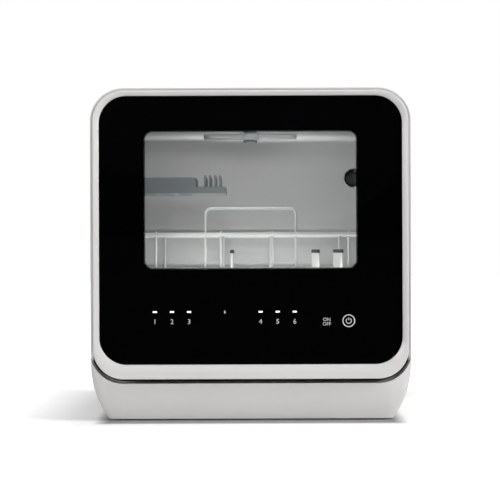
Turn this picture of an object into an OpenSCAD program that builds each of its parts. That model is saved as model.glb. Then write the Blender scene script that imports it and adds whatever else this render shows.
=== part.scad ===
// Countertop dishwasher with a drop-down glass door, a sliding wire basket and a built-in water tank.
// X runs to the right, the door faces -Y, Z is up, and the origin is on the floor under the middle.

/* [Body] */
// Width of the cabinet
body_w = 427; // [410:1:465]
// Height from the worktop to the top of the casing
body_h = 442; // [436:1:474]
// Depth from the door's rim to the back edge of the casing
body_d = 435; // [428:1:480]
// Radius of the casing's upper corners
casing_r = 44; // [40:1:48]
// Thickness of the casing sheet
casing_t = 2; // [1:0.5:3]
// Height of the seam between base and casing
seam_h = 92; // [88:1:95]
// How far the back panel sits inside the casing's back edge
rear_recess = 16; // [12:1:20]

/* [Base] */
// Wall of the moulded base
base_wall = 3; // [2:0.5:4]
// How far the base's front stands behind the door's rim
base_set_back = 9.5; // [9:0.5:12]
// Height of the base's front below the door
base_front_h = 51.5; // [48:0.5:54]
// Plan radius of the base's front corners
base_plan_r = 34; // [30:1:38]
// Radius of the skirt where it curves in towards the floor
skirt_r = 122; // [110:1:140]
// Height at which the skirt starts to curve in
skirt_h = 75; // [70:1:78]
// Gap between the skirt and the worktop
skirt_clear = 2; // [1.5:0.5:3]
// Radius of the rubber feet
foot_r = 13; // [10:1:15]

/* [Door] */
// How far the door stands inside the casing's outline at the sides
door_side = 6.5; // [4:0.1:8]
// How far the door's top stands below the casing's top
door_drop = 6.6; // [4:0.1:9]
// Radius of the door's corners
corner_r = 40; // [34:1:42]
// Thickness of the door
door_t = 38; // [37:0.5:42]
// Gap between the door and the base
door_gap = 5.5; // [4.5:0.5:6.5]
// Gap between the door's back and the cabinet's front
door_back_gap = 3; // [2.5:0.5:4]
// Width of the rim beside the glass
rim_side = 8.2; // [8:0.1:12]
// Width of the rim above the glass
rim_top = 7.2; // [7:0.1:12]
// Width of the rim below the glass
rim_bottom = 19; // [15:0.5:22]
// How far the rim stands proud of the glass
rim_proud = 2; // [1.5:0.1:2.4]
// Rounding of the door's front edge
rim_round = 5; // [3:0.5:5.5]
// Rounding of the rim's inner edge beside the glass
rim_inner_round = 1.6; // [1:0.1:2]
// Wall of the door frame
frame_wall = 3; // [2:0.5:3.5]
// Thickness of the outer glass
glass_t = 4; // [3:0.5:5]
// Corner radius of the outer glass
glass_r = 36; // [30:1:38]
// Thickness of the door liner
liner_t = 2; // [1:0.5:2.5]
// Width of the finger recess in the door's top
grip_w = 110; // [80:2:140]
// Depth of the finger recess
grip_deep = 18; // [14:1:22]
// Hinge axis above the door's lower edge
hinge_rise = 19; // [18:0.5:21]
// Diameter of the hinge pins
pin_d = 5; // [4:0.5:6]
// Play between a turning shaft and its hole, on the radius
shaft_play = 0.05; // [0.02:0.01:0.1]

/* [Window] */
// Width of the black border beside the window, from the door's edge
window_side = 66.5; // [60:0.5:85]
// Height of the black border above the window, from the door's top
window_top = 52.2; // [50:0.2:70]
// Height of the window's sill above the door's lower edge
window_rise = 143.6; // [140:0.2:150]
// Corner radius of the window
window_r = 12; // [8:1:16]
// Thickness of the inner pane
inner_pane_t = 3.2; // [3:0.1:4]
// Height of the lights above the glass's lower edge
lights_rise = 69; // [60:1:75]
// Pitch of the lights
light_pitch = 22.4; // [18:0.1:24]
// Distance from the middle to the nearest light on the right
light_start = 12.7; // [10:0.1:15]
// Distance from the middle to the light nearest the middle on the left
light_start_left = 81.1; // [78:0.1:85]
// Width of a light
light_w = 5.4; // [4:0.1:7]
// Height of a light
light_h = 2.2; // [1.5:0.1:3]

/* [Tub] */
// Gap from the casing's side to the tub
tub_side_gap = 27.5; // [25:0.5:30]
// Gap from the top of the casing to the tub
tub_top_gap = 38; // [34:1:42]
// Height of the tub's floor
tub_floor_h = 106; // [104:1:110]
// Gap from the tub's back to the back panel
tub_back_gap = 62; // [58:1:68]
// Wall of the tub
tub_wall = 2; // [1.5:0.5:2.5]
// Corner radius inside the tub
tub_r = 25; // [20:1:30]
// Radius of the sump's mouth
sump_r = 86; // [80:1:92]
// Depth of the sump below the tub's floor
sump_deep = 34; // [30:1:38]
// Gap between the lower spray arm's tips and the tub's back
arm_gap = 12; // [4:0.5:20]
// Reach of the upper spray arm from its axis
upper_arm_reach = 66; // [50:1:100]
// Width of a spray arm
arm_w = 34; // [28:1:40]
// Radius of the filter cup
filter_r = 23; // [18:1:25]

/* [Basket] */
// Gap between the basket's rails and the tub's side
basket_side_gap = 16; // [15:1:22]
// Gap between the basket's rails and the tub's back
basket_back_gap = 22; // [18:1:40]
// Height of the basket from its floor wires to its top rail
basket_h = 110; // [100:1:120]
// Gap from the closed door's liner to the basket
basket_front_gap = 27; // [26:0.5:29]
// Height of the basket's floor rail above the tub's floor
basket_rise = 31; // [30:0.5:36]
// Corner radius of the basket in plan
basket_r = 22; // [16:1:30]
// Diameter of the rails
rail_d = 5; // [4:0.5:6]
// Diameter of the wires
wire_d = 3.4; // [2.6:0.2:4]
// Height of the front loop above the top rail
loop_h = 35; // [20:1:45]
// Half of the front loop's width
loop_half_w = 61; // [40:1:80]
// Height of the plate tines
tine_h = 84; // [60:1:95]
// Wires along the basket
long_wires = 9; // [5:2:11]
// Wires across the basket
cross_wires = 8; // [5:1:9]

/* [Water] */
// Gap between the water tank and the casing's side
tank_side_gap = 16; // [12:1:40]
// Wall of the water tank
tank_wall = 2.5; // [2:0.5:3]
// Height of the water tank's top below the tub's top
tank_drop = 8; // [4:1:14]
// Width of the filling lid
lid_w = 118; // [100:2:130]
// Depth of the filling lid
lid_d = 42; // [36:1:44]
// Outer radius of the inlet's thread
inlet_r = 13.2; // [12:0.1:14]
// Outer radius of the drain spigot
drain_r = 10; // [8:0.5:12]

/* [Hidden] */
$fn = 48;

silver = "gainsboro";
dark = "#1b1b1c";
steel = "#a9abac";
wire_grey = "#c9cbcc";

// Clearances
fit = 0.3;      // between parts that are put together by hand
slide_gap = 0.5; // between parts that move past each other
weld = 0.3;     // how far welded wires sink into each other

// Main planes
front_y = -body_d / 2;
back_y = body_d / 2;
door_z0 = base_front_h + door_gap;
door_z1 = body_h - door_drop;
door_h = door_z1 - door_z0;
door_w = body_w - 2 * door_side;
door_back_y = front_y + door_t;
frame_y = door_back_y + door_back_gap;
base_y = front_y + base_set_back;
panel_y = back_y - rear_recess;
panel_t = 1.5;
front_frame_t = 3;

// Glass and window
glass_w = door_w - 2 * rim_side;
glass_h = door_h - rim_top - rim_bottom;
glass_z0 = door_z0 + rim_bottom;
glass_z = glass_z0 + glass_h / 2;
glass_y = front_y + rim_proud;
print_t = 0.4;
print_y = glass_y + glass_t;
inside_y = print_y + print_t;
window_w = door_w - 2 * window_side;
window_h = door_h - window_rise - window_top;
window_z = door_z0 + window_rise + window_h / 2;
window_lip = 14;       // how far the inner pane reaches past the window
window_step = 4;       // how far the openings behind the print stand back from the window's edge
liner_y = door_back_y - liner_t;
lights_z = glass_z0 + lights_rise;
lights_x = [for (i = [0:2]) light_start + i * light_pitch, for (i = [0:2]) -light_start_left - i * light_pitch];
power_key_x = 128.3;
power_key_drop = 12.2;
board_gap = 1.8;
board_t = 1.6;

// Hinge
pin_r = pin_d / 2;
eye_r = pin_r + 2;
hinge_y = inside_y + eye_r + fit;
hinge_z = door_z0 + hinge_rise;
hinge_set = hinge_y - front_y;
notch_x0 = door_w / 2 - 34; // hinge notch in the door, inner side
cheek_t = 6;           // walls beside the notch
pin_grip = 5;          // how far the pin is held in each wall
notch_w = 16;
bracket_t = 4;
bracket_x = notch_x0 + 2;
// The door's lower back edge is cut back so that it swings clear of the cabinet.
hinge_back = door_t - hinge_set;
chamfer_y = sqrt(hinge_back * hinge_back - hinge_rise * hinge_rise) - 3;

// Tub
tub_half = body_w / 2 - tub_side_gap;
tub_y0 = frame_y + front_frame_t;
tub_y1 = panel_y - tub_back_gap;
tub_d = tub_y1 - tub_y0;
tub_z0 = tub_floor_h - tub_wall;
tub_z1 = body_h - tub_top_gap;
inner_half = tub_half - tub_wall;
inner_z1 = tub_z1 - tub_wall;
inner_y1 = tub_y1 - tub_wall;
arm_y = (tub_y0 + inner_y1) / 2;
sump_t = 2.5;
sump_z0 = tub_z0 - sump_deep;

// Heating element
heater_wire = 3.5;
heater_r = sump_r - 26;
heater_z = sump_z0 + sump_t + 8;
terminal_x = [-8, 8];
terminal_r = 3.9;

// Filter cup, beside the arm's post and above the element
filter_x = 44;
filter_y = arm_y - filter_x;
filter_z0 = heater_z + heater_wire + 2;

// Spray arms
lower_arm_z = tub_floor_h + 12;
arm_t = 9;
post_r = 6;
upper_arm_z = inner_z1 - 11 - arm_t;
lower_arm_reach = inner_y1 - arm_gap - arm_y;

// Riser pipe, between the tub and the casing
riser_r = 5;
riser_bend = 8;
riser_x = (tub_half + body_w / 2 - casing_t) / 2;
riser_z = tub_z1 + riser_r + 3;

// Basket
rail_r = rail_d / 2;
wire_r = wire_d / 2;
basket_w = 2 * (inner_half - basket_side_gap);
basket_y0 = door_back_y + basket_front_gap;
basket_d = inner_y1 - basket_back_gap - basket_y0;
basket_y = basket_y0 + basket_d / 2;
basket_z0 = tub_floor_h + basket_rise;
basket_z1 = basket_z0 + basket_h;
glide_rail_z = basket_z0 + 62;
floor_wire_z = basket_z0 - rail_r - wire_r + weld;
cross_wire_z = floor_wire_z + 2 * wire_r - weld;

// Water
fan_x = body_w / 2 - 58;
tank_x0 = -body_w / 2 + tank_side_gap;
tank_x1 = fan_x - 42;
tank_y0 = tub_y1 + 6;
tank_y1 = panel_y - 4;
tank_z0 = tub_z0 + 6;
tank_z1 = tub_z1 - tank_drop;
lid_x = -20;
lid_t = 3;
lid_hinge_y = (tank_y0 + tank_y1) / 2 + lid_d / 2;
lid_hinge_z = body_h - lid_t;
funnel_wall = 2;

// Pumps
pump_x = 62;
pump_y = arm_y + 84;
pump_r = 26;
pump_z = 36;
motor_r = 24;
drain_pump_x = -70;
drain_pump_y = arm_y + 104;
drain_pump_z = pump_z;
drain_pump_r = 20;
drain_x = -body_w / 2 + 90;
drain_z = pump_z + 12;

hose_r = 9;
outlet_z = pump_z + 8; // height of the pipe from the wash pump to the riser

// Fan
fan_z = body_h - 108;
fan_r = 26;
fan_box = 32;          // half of the fan housing's width
fan_shaft = 2;
duct_r = 14;
inlet_z = seam_h + 38;
cord_z = seam_h + 98;
cord_r = 7;

// Detergent cup
cup_w = 66;
cup_h = 46;
cup_z = tub_floor_h + 34;
cup_deep = 20;
bezel_t = 3;
lid_slide = 46;

// Feet and posts
foot_x = [-body_w / 2 + 60, body_w / 2 - 60];
foot_y = [front_y + 87, back_y - 67];
post_x = foot_x;
post_w = 14;
foot_stem = 5;
post_y = [front_y + 112, back_y - 117];

// ---- shapes ----

// Turns a shape drawn flat so that it stands in XZ and its thickness runs back along +Y.
module stand() {
  mirror([0, 1, 0]) rotate([90, 0, 0]) children();
}

// Rounded rectangle in 2D.
module rounded(w, h, r) {
  square([w - 2 * r, h], center = true);
  square([w, h - 2 * r], center = true);
  for (x = [-1, 1], y = [-1, 1]) translate([x * (w / 2 - r), y * (h / 2 - r)]) circle(r);
}

// Upright plate with rounded corners, from y back by t, centred on z.
module plate(w, h, r, y, z, t) {
  translate([0, y, z]) stand() linear_extrude(t) rounded(w, h, r);
}

// Box from its two corners.
module block(x0, x1, y0, y1, z0, z1) {
  translate([x0, y0, z0]) cube([x1 - x0, y1 - y0, z1 - z0]);
}

// Both sides of the dishwasher.
module both_sides() {
  children();
  mirror([1, 0, 0]) children();
}

// Straight wire between two points along one axis or slanted.
module wire(a, b, r) {
  d = b - a;
  len = norm(d);
  translate(a) rotate([0, acos(d[2] / len), atan2(d[1], d[0])]) cylinder(h = len, r = r, $fn = 24);
}

// Round bar along a path whose runs meet at right angles, with bends of one radius.
module bent_pipe(path, bend_r, r) {
  last = len(path) - 2;
  function run(i) = (path[i + 1] - path[i]) / norm(path[i + 1] - path[i]);
  for (i = [0:last])
    wire(path[i] + (i > 0 ? bend_r : 0) * run(i), path[i + 1] - (i < last ? bend_r : 0) * run(i), r);
  for (i = [1:last]) let (u = -run(i), v = run(i - 1), w = cross(u, v), c = path[i] - bend_r * (u + v))
    multmatrix([[u[0], v[0], w[0], c[0]], [u[1], v[1], w[1], c[1]], [u[2], v[2], w[2], c[2]], [0, 0, 0, 1]])
      rotate_extrude(angle = 90) translate([bend_r, 0]) circle(r, $fn = 24);
}

// Closed rail with rounded corners in plan.
module rail_ring(w, d, r, z, wr) {
  for (sx = [-1, 1], sy = [-1, 1])
    translate([sx * (w / 2 - r), basket_y + sy * (d / 2 - r), z])
      rotate([0, 0, sx > 0 ? (sy > 0 ? 0 : 270) : (sy > 0 ? 90 : 180)])
        rotate_extrude(angle = 90) translate([r, 0]) circle(wr, $fn = 24);
  for (sy = [-1, 1])
    wire([-(w / 2 - r), basket_y + sy * d / 2, z], [w / 2 - r, basket_y + sy * d / 2, z], wr);
  for (sx = [-1, 1])
    wire([sx * w / 2, basket_y - (d / 2 - r), z], [sx * w / 2, basket_y + (d / 2 - r), z], wr);
}

// Cylinder along +Y.
module rod_y(x, y0, y1, z, r) {
  translate([x, y1, z]) rotate([90, 0, 0]) cylinder(h = y1 - y0, r = r);
}

// Cylinder along +X.
module rod_x(x0, x1, y, z, r) {
  translate([x0, y, z]) rotate([0, 90, 0]) cylinder(h = x1 - x0, r = r);
}

// Screw head with its shank, along +Y.
module screw_y(x, y, z, head = 1.6, shank = 6) {
  rod_y(x, y, y + head, z, 3.2);
  rod_y(x, y - shank, y, z, 1.4);
}

// ---- base ----

// Section of the base's wall, drawn from its corner axis outwards; inset moves it inwards.
module skirt_section(inset, top) {
  reach = base_plan_r - inset;
  z0 = skirt_clear + inset;
  intersection() {
    translate([0, z0]) square([reach, skirt_h - z0]);
    translate([base_plan_r - skirt_r, skirt_h]) circle(skirt_r - inset, $fn = 120);
  }
  translate([0, skirt_h]) square([reach, top - skirt_h]);
}

// Solid outline of the base, inset for its hollow.
module base_solid(inset, top) {
  x1 = body_w / 2 - base_plan_r;
  y0 = base_y + base_plan_r;
  y1 = panel_y + panel_t - inset;
  both_sides() {
    translate([x1, y0, 0]) rotate([0, 0, 270]) rotate_extrude(angle = 90) skirt_section(inset, top);
    translate([x1, y1, 0]) rotate([90, 0, 0]) linear_extrude(y1 - y0) skirt_section(inset, top);
  }
  translate([-x1, y0, 0]) rotate([90, 0, 90]) mirror([1, 0, 0]) linear_extrude(2 * x1) skirt_section(inset, top);
  block(-x1, x1, y0, y1, skirt_clear + inset, top);
}

space_side = 1.5;      // how far the door's space reaches past the cabinet's sides
// Space in front of the cabinet that the door and its gap take up.
module door_space(extra, y1) {
  w = body_w + 2 * (space_side + extra);
  h = door_h + 2 * (door_gap + extra);
  r = corner_r + door_side + space_side + extra;
  y0 = front_y - 10;
  translate([0, y0, door_z0 + door_h / 2]) stand() linear_extrude(y1 - y0) rounded(w, h, r);
}

module bracket_slots(y0, y1) {
  both_sides() block(bracket_x - 2, bracket_x + bracket_t + 2, y0, y1, hinge_z - 8, hinge_z + 8);
}

module base_tray() {
  color(silver) {
    difference() {
      base_solid(0, seam_h);
      difference() {
        base_solid(base_wall, seam_h + 1);
        door_space(base_wall, frame_y + base_wall);
      }
      door_space(0, frame_y);
      bracket_slots(frame_y - 1, frame_y + base_wall + 1);
      rod_y(drain_x, panel_y - 10, back_y, drain_z, drain_r + 3);
      for (x = foot_x, y = foot_y) translate([x, y, 0]) cylinder(h = 20, r = foot_stem);
    }
    // posts that carry the tub
    for (x = post_x, y = post_y)
      block(x - post_w / 2, x + post_w / 2, y - post_w / 2, y + post_w / 2, skirt_clear + base_wall / 2, tub_z0);
    // lip that centres the casing
    both_sides()
      block(body_w / 2 - casing_t - fit - 2, body_w / 2 - casing_t - fit, frame_y + 26, panel_y - 21,
        seam_h - 8, seam_h + 6);
  }
}

seal_w = 9;            // width of the tub's seal
strip_t = 1.2;
strip_drop = 5;        // from the seal down to the strip
module gap_strip() {
  color(dark) difference() {
    intersection() {
      block(-body_w / 2 + 4, body_w / 2 - 4, frame_y - strip_t, frame_y, base_front_h - 1,
        tub_floor_h - seal_w - strip_drop);
      door_space(-fit, frame_y + 1);
    }
    bracket_slots(frame_y - 2, frame_y + 1);
  }
}

module feet() {
  color(dark) for (x = foot_x, y = foot_y) translate([x, y, 0]) {
    cylinder(h = skirt_clear, r = foot_r);
    cylinder(h = skirt_clear + base_wall + 1, r = foot_stem);
    translate([0, 0, skirt_clear + base_wall]) cylinder(h = 1.5, r = foot_stem + 1.5);
  }
}

// ---- cabinet shell ----

// Front view of the casing, open below.
module casing_outline(inset, down) {
  r = casing_r - inset;
  half = body_w / 2 - inset;
  top = body_h - inset;
  z0 = seam_h - down;
  translate([-half, z0]) square([2 * half, top - r - z0]);
  translate([-half + r, z0]) square([2 * (half - r), top - z0]);
  for (x = [-1, 1]) translate([x * (half - r), top - r]) circle(r);
}

module casing() {
  color(silver) difference() {
    translate([0, frame_y, 0]) stand() linear_extrude(back_y - frame_y) difference() {
      casing_outline(0, 0);
      casing_outline(casing_t, 1);
    }
    block(lid_x - lid_w / 2 - 1, lid_x + lid_w / 2 + 1, lid_hinge_y - lid_d - 1, lid_hinge_y + 5,
      body_h - 10, body_h + 1);
  }
}

striker_z = inner_z1 + 19;
switch_x = notch_x0 - 46;
switch_z = inner_z1 + 17;
switch_hole_r = 4;
module front_frame() {
  color(silver) difference() {
    translate([0, frame_y, 0]) stand() linear_extrude(front_frame_t) difference() {
      casing_outline(casing_t + fit, 0);
      translate([0, (tub_floor_h + inner_z1) / 2]) rounded(2 * inner_half, inner_z1 - tub_floor_h, tub_r);
    }
    // slot for the striker
    block(-12, 12, frame_y - 1, tub_y0 + 1, striker_z - 5, striker_z + 5);
    rod_y(switch_x, frame_y - 1, tub_y0 + 1, switch_z, switch_hole_r);
  }
}

vent_w = 50;
vent_h = 3;
vent_pitch = 7;
vent_z0 = fan_z - 94;
module rear_panel() {
  color("darkgray") difference() {
    translate([0, panel_y, 0]) stand() linear_extrude(panel_t) casing_outline(casing_t + fit, 0);
    // vents low on both sides and the fan's outlet
    for (x = [-body_w / 2 + 30, body_w / 2 - 30 - vent_w], i = [0:7])
      block(x, x + vent_w, panel_y - 1, panel_y + 3, vent_z0 + i * vent_pitch, vent_z0 + i * vent_pitch + vent_h);
    rod_y(fan_x, panel_y - 1, panel_y + 3, fan_z, fan_r);
    rod_y(fan_x, panel_y - 1, panel_y + 3, inlet_z, inlet_r + 1);
    rod_y(fan_x, panel_y - 1, panel_y + 3, cord_z, cord_r);
    for (p = rear_screw_points) rod_y(p[0], panel_y - 1, panel_y + 3, p[1], 1.4 + fit);
  }
}

rear_screw_x = body_w / 2 - 14;
rear_screw_points = [for (x = [-1, 0, 1]) [x * rear_screw_x, seam_h + 7],
  for (x = [-1, 1]) [x * rear_screw_x, (seam_h + body_h) / 2 - 5], for (x = foot_x) [x, body_h - 10]];

// Screws in the back panel, and those under the base that hold the tub's posts.
module cabinet_screws() {
  color("silver") {
    for (p = rear_screw_points) screw_y(p[0], panel_y + panel_t, p[1]);
    for (x = post_x, y = post_y) translate([x, y, skirt_clear - 1.2]) cylinder(h = 1.2, r = 3.5);
  }
}

module vent_grille() {
  color(dark) difference() {
    translate([fan_x, panel_y + panel_t, fan_z]) stand() linear_extrude(2.5) rounded(66, 66, 6);
    for (i = [-4:4]) block(fan_x - sqrt(fan_r * fan_r - i * i * 36) + 1, fan_x + sqrt(fan_r * fan_r - i * i * 36) - 1,
      panel_y, panel_y + panel_t + 4, fan_z + i * 6 - 1.7, fan_z + i * 6 + 1.7);
  }
}

// ---- tub ----

module tub() {
  mid_z = (tub_z0 + tub_z1) / 2;
  color(steel) difference() {
    union() {
      plate(2 * tub_half, tub_z1 - tub_z0, tub_r + tub_wall, tub_y0, mid_z, tub_d);
      plate(2 * tub_half + 14, tub_z1 - tub_z0 + 14, tub_r + tub_wall + 7, tub_y0, mid_z, tub_wall);
    }
    plate(2 * inner_half, inner_z1 - tub_floor_h, tub_r, tub_y0 - 1, mid_z, tub_d + 1 - tub_wall);
    translate([0, arm_y, tub_z0 - 1]) cylinder(h = 10, r = sump_r);
    translate([lamp_x, lamp_y, tub_z1 - 10]) cylinder(h = 20, r = lamp_r);
    rod_y(fan_x, inner_y1 - 1, tub_y1 + 1, fan_z, duct_r);
    translate([0, arm_y, tub_z1 - 5]) cylinder(h = 10, r = riser_r + fit);
  }
}

lamp_x = 0;
lamp_y = front_y + 82;
lamp_r = 12;

module tub_seal() {
  mid_z = (tub_floor_h + inner_z1) / 2;
  y0 = door_back_y + fit;
  color("dimgray") difference() {
    plate(2 * (inner_half + seal_w), inner_z1 - tub_floor_h + 2 * seal_w, tub_r + seal_w, y0, mid_z, frame_y - y0);
    plate(2 * inner_half + 4, inner_z1 - tub_floor_h + 4, tub_r + 2, y0 - 1, mid_z, door_t);
  }
}

rail_t = 4;
rail_y1 = inner_y1 - 21;
glide_clear = 6;       // from the basket's rail to the tub rail's ledge
module tub_rails() {
  z1 = glide_rail_z - 6;
  color("lightgray") both_sides() {
    block(basket_w / 2 + glide_clear, inner_half, tub_y0 + 8, rail_y1, z1 - rail_t, z1);
    block(inner_half - 3, inner_half, tub_y0 + 8, rail_y1, z1 - 14, z1);
    block(basket_w / 2 + glide_clear, inner_half, rail_y1 - rail_t, rail_y1, z1 - rail_t, z1 + 8);
  }
}

module interior_lamp() {
  color("white") {
    translate([lamp_x, lamp_y, inner_z1 - 2]) cylinder(h = 2, r = lamp_r + 3);
    translate([lamp_x, lamp_y, inner_z1 - 2]) cylinder(h = 14, r = lamp_r - fit);
  }
}

// Cutlery shelf on the tub's left wall: a slatted tray, a lower comb beside it and two arms to the wall.
plunger_r = 2.5;
shelf_d = 120;
shelf_x0 = -inner_half;
shelf_y0 = arm_y - shelf_d / 2;
shelf_y1 = arm_y + shelf_d / 2;
shelf_z = basket_z1 + 58;
shelf_wall = 2;
shelf_arm = 26;        // from the tub's wall to the tray
tray_x0 = shelf_x0 + shelf_arm;
tray_w = 82;
tray_h = 22;
tray_x1 = tray_x0 + tray_w;
comb_w = 42;
comb_h = 9;
prong_w = 2.6;
prong_h = 16;
prong_pitch = 7;
arm_h = 12;
arm_strip = 8;
slot_pitch_x = 25;
slot_w = 19;
slot_pitch_y = 18;
slot_d = 10;
module cutlery_shelf() {
  color("darkgray") difference() {
    union() {
      difference() {
        block(tray_x0, tray_x1, shelf_y0, shelf_y1, shelf_z, shelf_z + tray_h);
        block(tray_x0 + shelf_wall, tray_x1 - shelf_wall, shelf_y0 + shelf_wall, shelf_y1 - shelf_wall,
          shelf_z + shelf_wall, shelf_z + tray_h + 1);
      }
      difference() {
        block(tray_x1 - 1, tray_x1 + comb_w, shelf_y0, shelf_y1, shelf_z, shelf_z + comb_h);
        block(tray_x1, tray_x1 + comb_w - shelf_wall, shelf_y0 + shelf_wall, shelf_y1 - shelf_wall,
          shelf_z + shelf_wall, shelf_z + comb_h + 1);
      }
      // three rows of four prongs
      for (y = [shelf_y0 + 3, arm_y, shelf_y1 - 7], i = [0:3])
        let (x = tray_x1 + comb_w - 7 - prong_w - i * prong_pitch)
          block(x, x + prong_w, y, y + 4, shelf_z + 1, shelf_z + comb_h + prong_h);
      for (y = [shelf_y0 + 10, shelf_y1 - 10 - arm_strip])
        block(shelf_x0, tray_x0 + shelf_wall, y, y + arm_strip, shelf_z + 4, shelf_z + 4 + arm_h);
      block(shelf_x0, shelf_x0 + 3, shelf_y0 + 6, shelf_y1 - 6, shelf_z - 4, shelf_z + tray_h);
    }
    for (i = [0:5], j = [0:2]) let (x = tray_x0 + 6 + j * slot_pitch_x, y = shelf_y0 + 8 + i * slot_pitch_y)
      block(x, x + slot_w, y, y + slot_d, shelf_z - 1, shelf_z + shelf_wall + 1);
  }
}

module sump_bowl() {
  color("dimgray") translate([0, arm_y, 0]) difference() {
    union() {
      translate([0, 0, tub_z0 - sump_t]) cylinder(h = sump_t, r = sump_r + 12);
      translate([0, 0, sump_z0]) cylinder(h = sump_deep, r = sump_r + sump_t);
      // sump outlet: down, and to both pumps
      translate([0, 0, pump_z]) cylinder(h = sump_z0 + 1 - pump_z, r = hose_r);
      translate([0, 0, pump_z]) sphere(hose_r);
      wire([0, 0, pump_z], [pump_x, 0, pump_z], hose_r);
      wire([0, 0, pump_z], [drain_pump_x, 0, pump_z], hose_r);
      for (x = [pump_x, drain_pump_x]) translate([x, 0, pump_z]) sphere(hose_r);
      wire([pump_x, 0, pump_z], [pump_x, pump_y - 40 - arm_y, pump_z], hose_r);
      wire([drain_pump_x, 0, pump_z], [drain_pump_x, drain_pump_y - 34 - arm_y, pump_z], hose_r);
    }
    translate([0, 0, sump_z0 + sump_t]) cylinder(h = sump_deep, r = sump_r);
    for (x = terminal_x) translate([x, heater_r, sump_z0 - 1]) cylinder(h = 8, r = terminal_r + 0.1);
  }
}

module filter_plate() {
  color("silver") translate([0, arm_y, tub_z0]) difference() {
    cylinder(h = tub_wall, r = sump_r - fit);
    translate([0, 0, -1]) cylinder(h = 5, r = post_r + 5);
    translate([filter_x, filter_y - arm_y, -1]) cylinder(h = 5, r = filter_r + slide_gap);
    for (ring = [1:2], i = [0:15])
      let (a = i * 22.5, q = heater_r + ring * 11, px = q * cos(a), py = q * sin(a))
        if (norm([px - filter_x, py - (filter_y - arm_y)]) > filter_r + 8)
          translate([px, py, -1]) cylinder(h = 5, r = 2.4, $fn = 16);
  }
}

module heater_element() {
  color("gray") translate([0, arm_y, 0]) {
    translate([0, 0, heater_z]) rotate([0, 0, 98]) rotate_extrude(angle = 344) translate([heater_r, 0])
      circle(heater_wire, $fn = 24);
    for (x = terminal_x) translate([x, heater_r, sump_z0 - 8]) cylinder(h = heater_z - sump_z0 + 8, r = terminal_r);
  }
}

module lower_arm_bearing() {
  z0 = sump_z0 + sump_t;
  top = lower_arm_z + arm_t + 1;
  color("gray") translate([0, arm_y, 0]) difference() {
    union() {
      translate([0, 0, z0]) cylinder(h = 3, r = 16);
      translate([0, 0, z0]) cylinder(h = lower_arm_z - 1 - z0, r = post_r + 3);
      translate([0, 0, z0]) cylinder(h = top + 3 - z0, r = post_r);
      translate([0, 0, top]) cylinder(h = 3, r = post_r + 4);
    }
    translate([0, 0, z0 - 1]) cylinder(h = lower_arm_z - z0 + 4, r = post_r - 2.5);
  }
}

// Spray arm: a flat hollow bar with round ends, a hub and nozzles on one face.
module arm(reach, z, bore, up) {
  color("dimgray") translate([0, arm_y, z]) difference() {
    union() {
      linear_extrude(arm_t) {
        square([2 * reach - arm_w * 0.7, arm_w * 0.7], center = true);
        for (x = [-1, 1]) translate([x * (reach - arm_w * 0.35), 0]) circle(arm_w * 0.35);
        circle(arm_w / 2);
      }
    }
    translate([0, 0, -1]) cylinder(h = arm_t + 2, r = bore);
    for (s = [-1, 1]) translate([s * (reach + arm_w) / 2, 0, 2]) linear_extrude(arm_t - 4)
      square([reach - arm_w - 16, arm_w * 0.7 - 5], center = true);
    for (s = [-1, 1], i = [1:3])
      translate([s * (arm_w / 2 + 8 + i * (reach - arm_w / 2 - 22) / 3.3), s * 2, up > 0 ? arm_t - 3 : -1])
        cylinder(h = 4, r = 1.5, $fn = 16);
  }
}

module lower_spray_arm() {
  arm(lower_arm_reach, lower_arm_z, post_r + shaft_play, 1);
}

module upper_spray_arm() {
  arm(upper_arm_reach, upper_arm_z, post_r + shaft_play, -1);
}

// Pipe from the wash pump round the tub's right side, up, and over its ceiling to the upper arm's post.
riser_path = [[pump_x + pump_r + 1, pump_y - 13, outlet_z], [riser_x, pump_y - 13, outlet_z],
  [riser_x, arm_y, outlet_z], [riser_x, arm_y, riser_z], [0, arm_y, riser_z], [0, arm_y, inner_z1 - 1]];
module riser_pipe() {
  nut_z = upper_arm_z - 1;
  collar_z = upper_arm_z + arm_t + 1;
  color("gray") {
    bent_pipe(riser_path, riser_bend, riser_r);
    translate([0, arm_y, tub_z1]) cylinder(h = 2, r = riser_r + 4);
    translate([0, arm_y, collar_z]) cylinder(h = inner_z1 - collar_z, r = post_r + 3);
    translate([0, arm_y, nut_z - 3]) cylinder(h = inner_z1 - nut_z + 3, r = post_r);
    translate([0, arm_y, nut_z - 3]) cylinder(h = 3, r = post_r + 4);
  }
}

module filter_cup() {
  z0 = filter_z0;
  z1 = tub_floor_h + 1;
  color("dimgray") translate([filter_x, filter_y, 0]) {
    difference() {
      union() {
        translate([0, 0, z0]) cylinder(h = z1 - z0, r = filter_r);
        translate([0, 0, tub_floor_h + slide_gap]) cylinder(h = 2, r = filter_r + 4);
      }
      translate([0, 0, z0 + 2]) cylinder(h = z1, r = filter_r - 2);
      for (a = [0:45:315]) rotate([0, 0, a]) translate([filter_r - 5, -3, z0 + 4]) cube([10, 6, z1 - z0 - 9]);
    }
    // bar to turn it by
    translate([-filter_r + 1, -2, tub_floor_h - 3]) cube([2 * filter_r - 2, 4, 11]);
  }
}

// ---- pumps and water ----

module wash_pump_housing() {
  color("gray") difference() {
    union() {
      rod_y(pump_x, pump_y - 26, pump_y, pump_z, pump_r + 3);
      rod_y(pump_x, pump_y - 40, pump_y - 24, pump_z, 14);
      block(pump_x - 18, pump_x + 18, pump_y - 24, pump_y - 4, skirt_clear + base_wall, pump_z - 18);
    }
    rod_y(pump_x, pump_y - 23, pump_y - 3, pump_z, pump_r);
    rod_y(pump_x, pump_y - 41, pump_y - 20, pump_z, hose_r);
    rod_y(pump_x, pump_y - 10, pump_y + 1, pump_z, 3 + shaft_play);
    rod_x(pump_x + pump_r - 8, pump_x + pump_r + 5, pump_y - 13, outlet_z, riser_r);
  }
}

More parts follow.
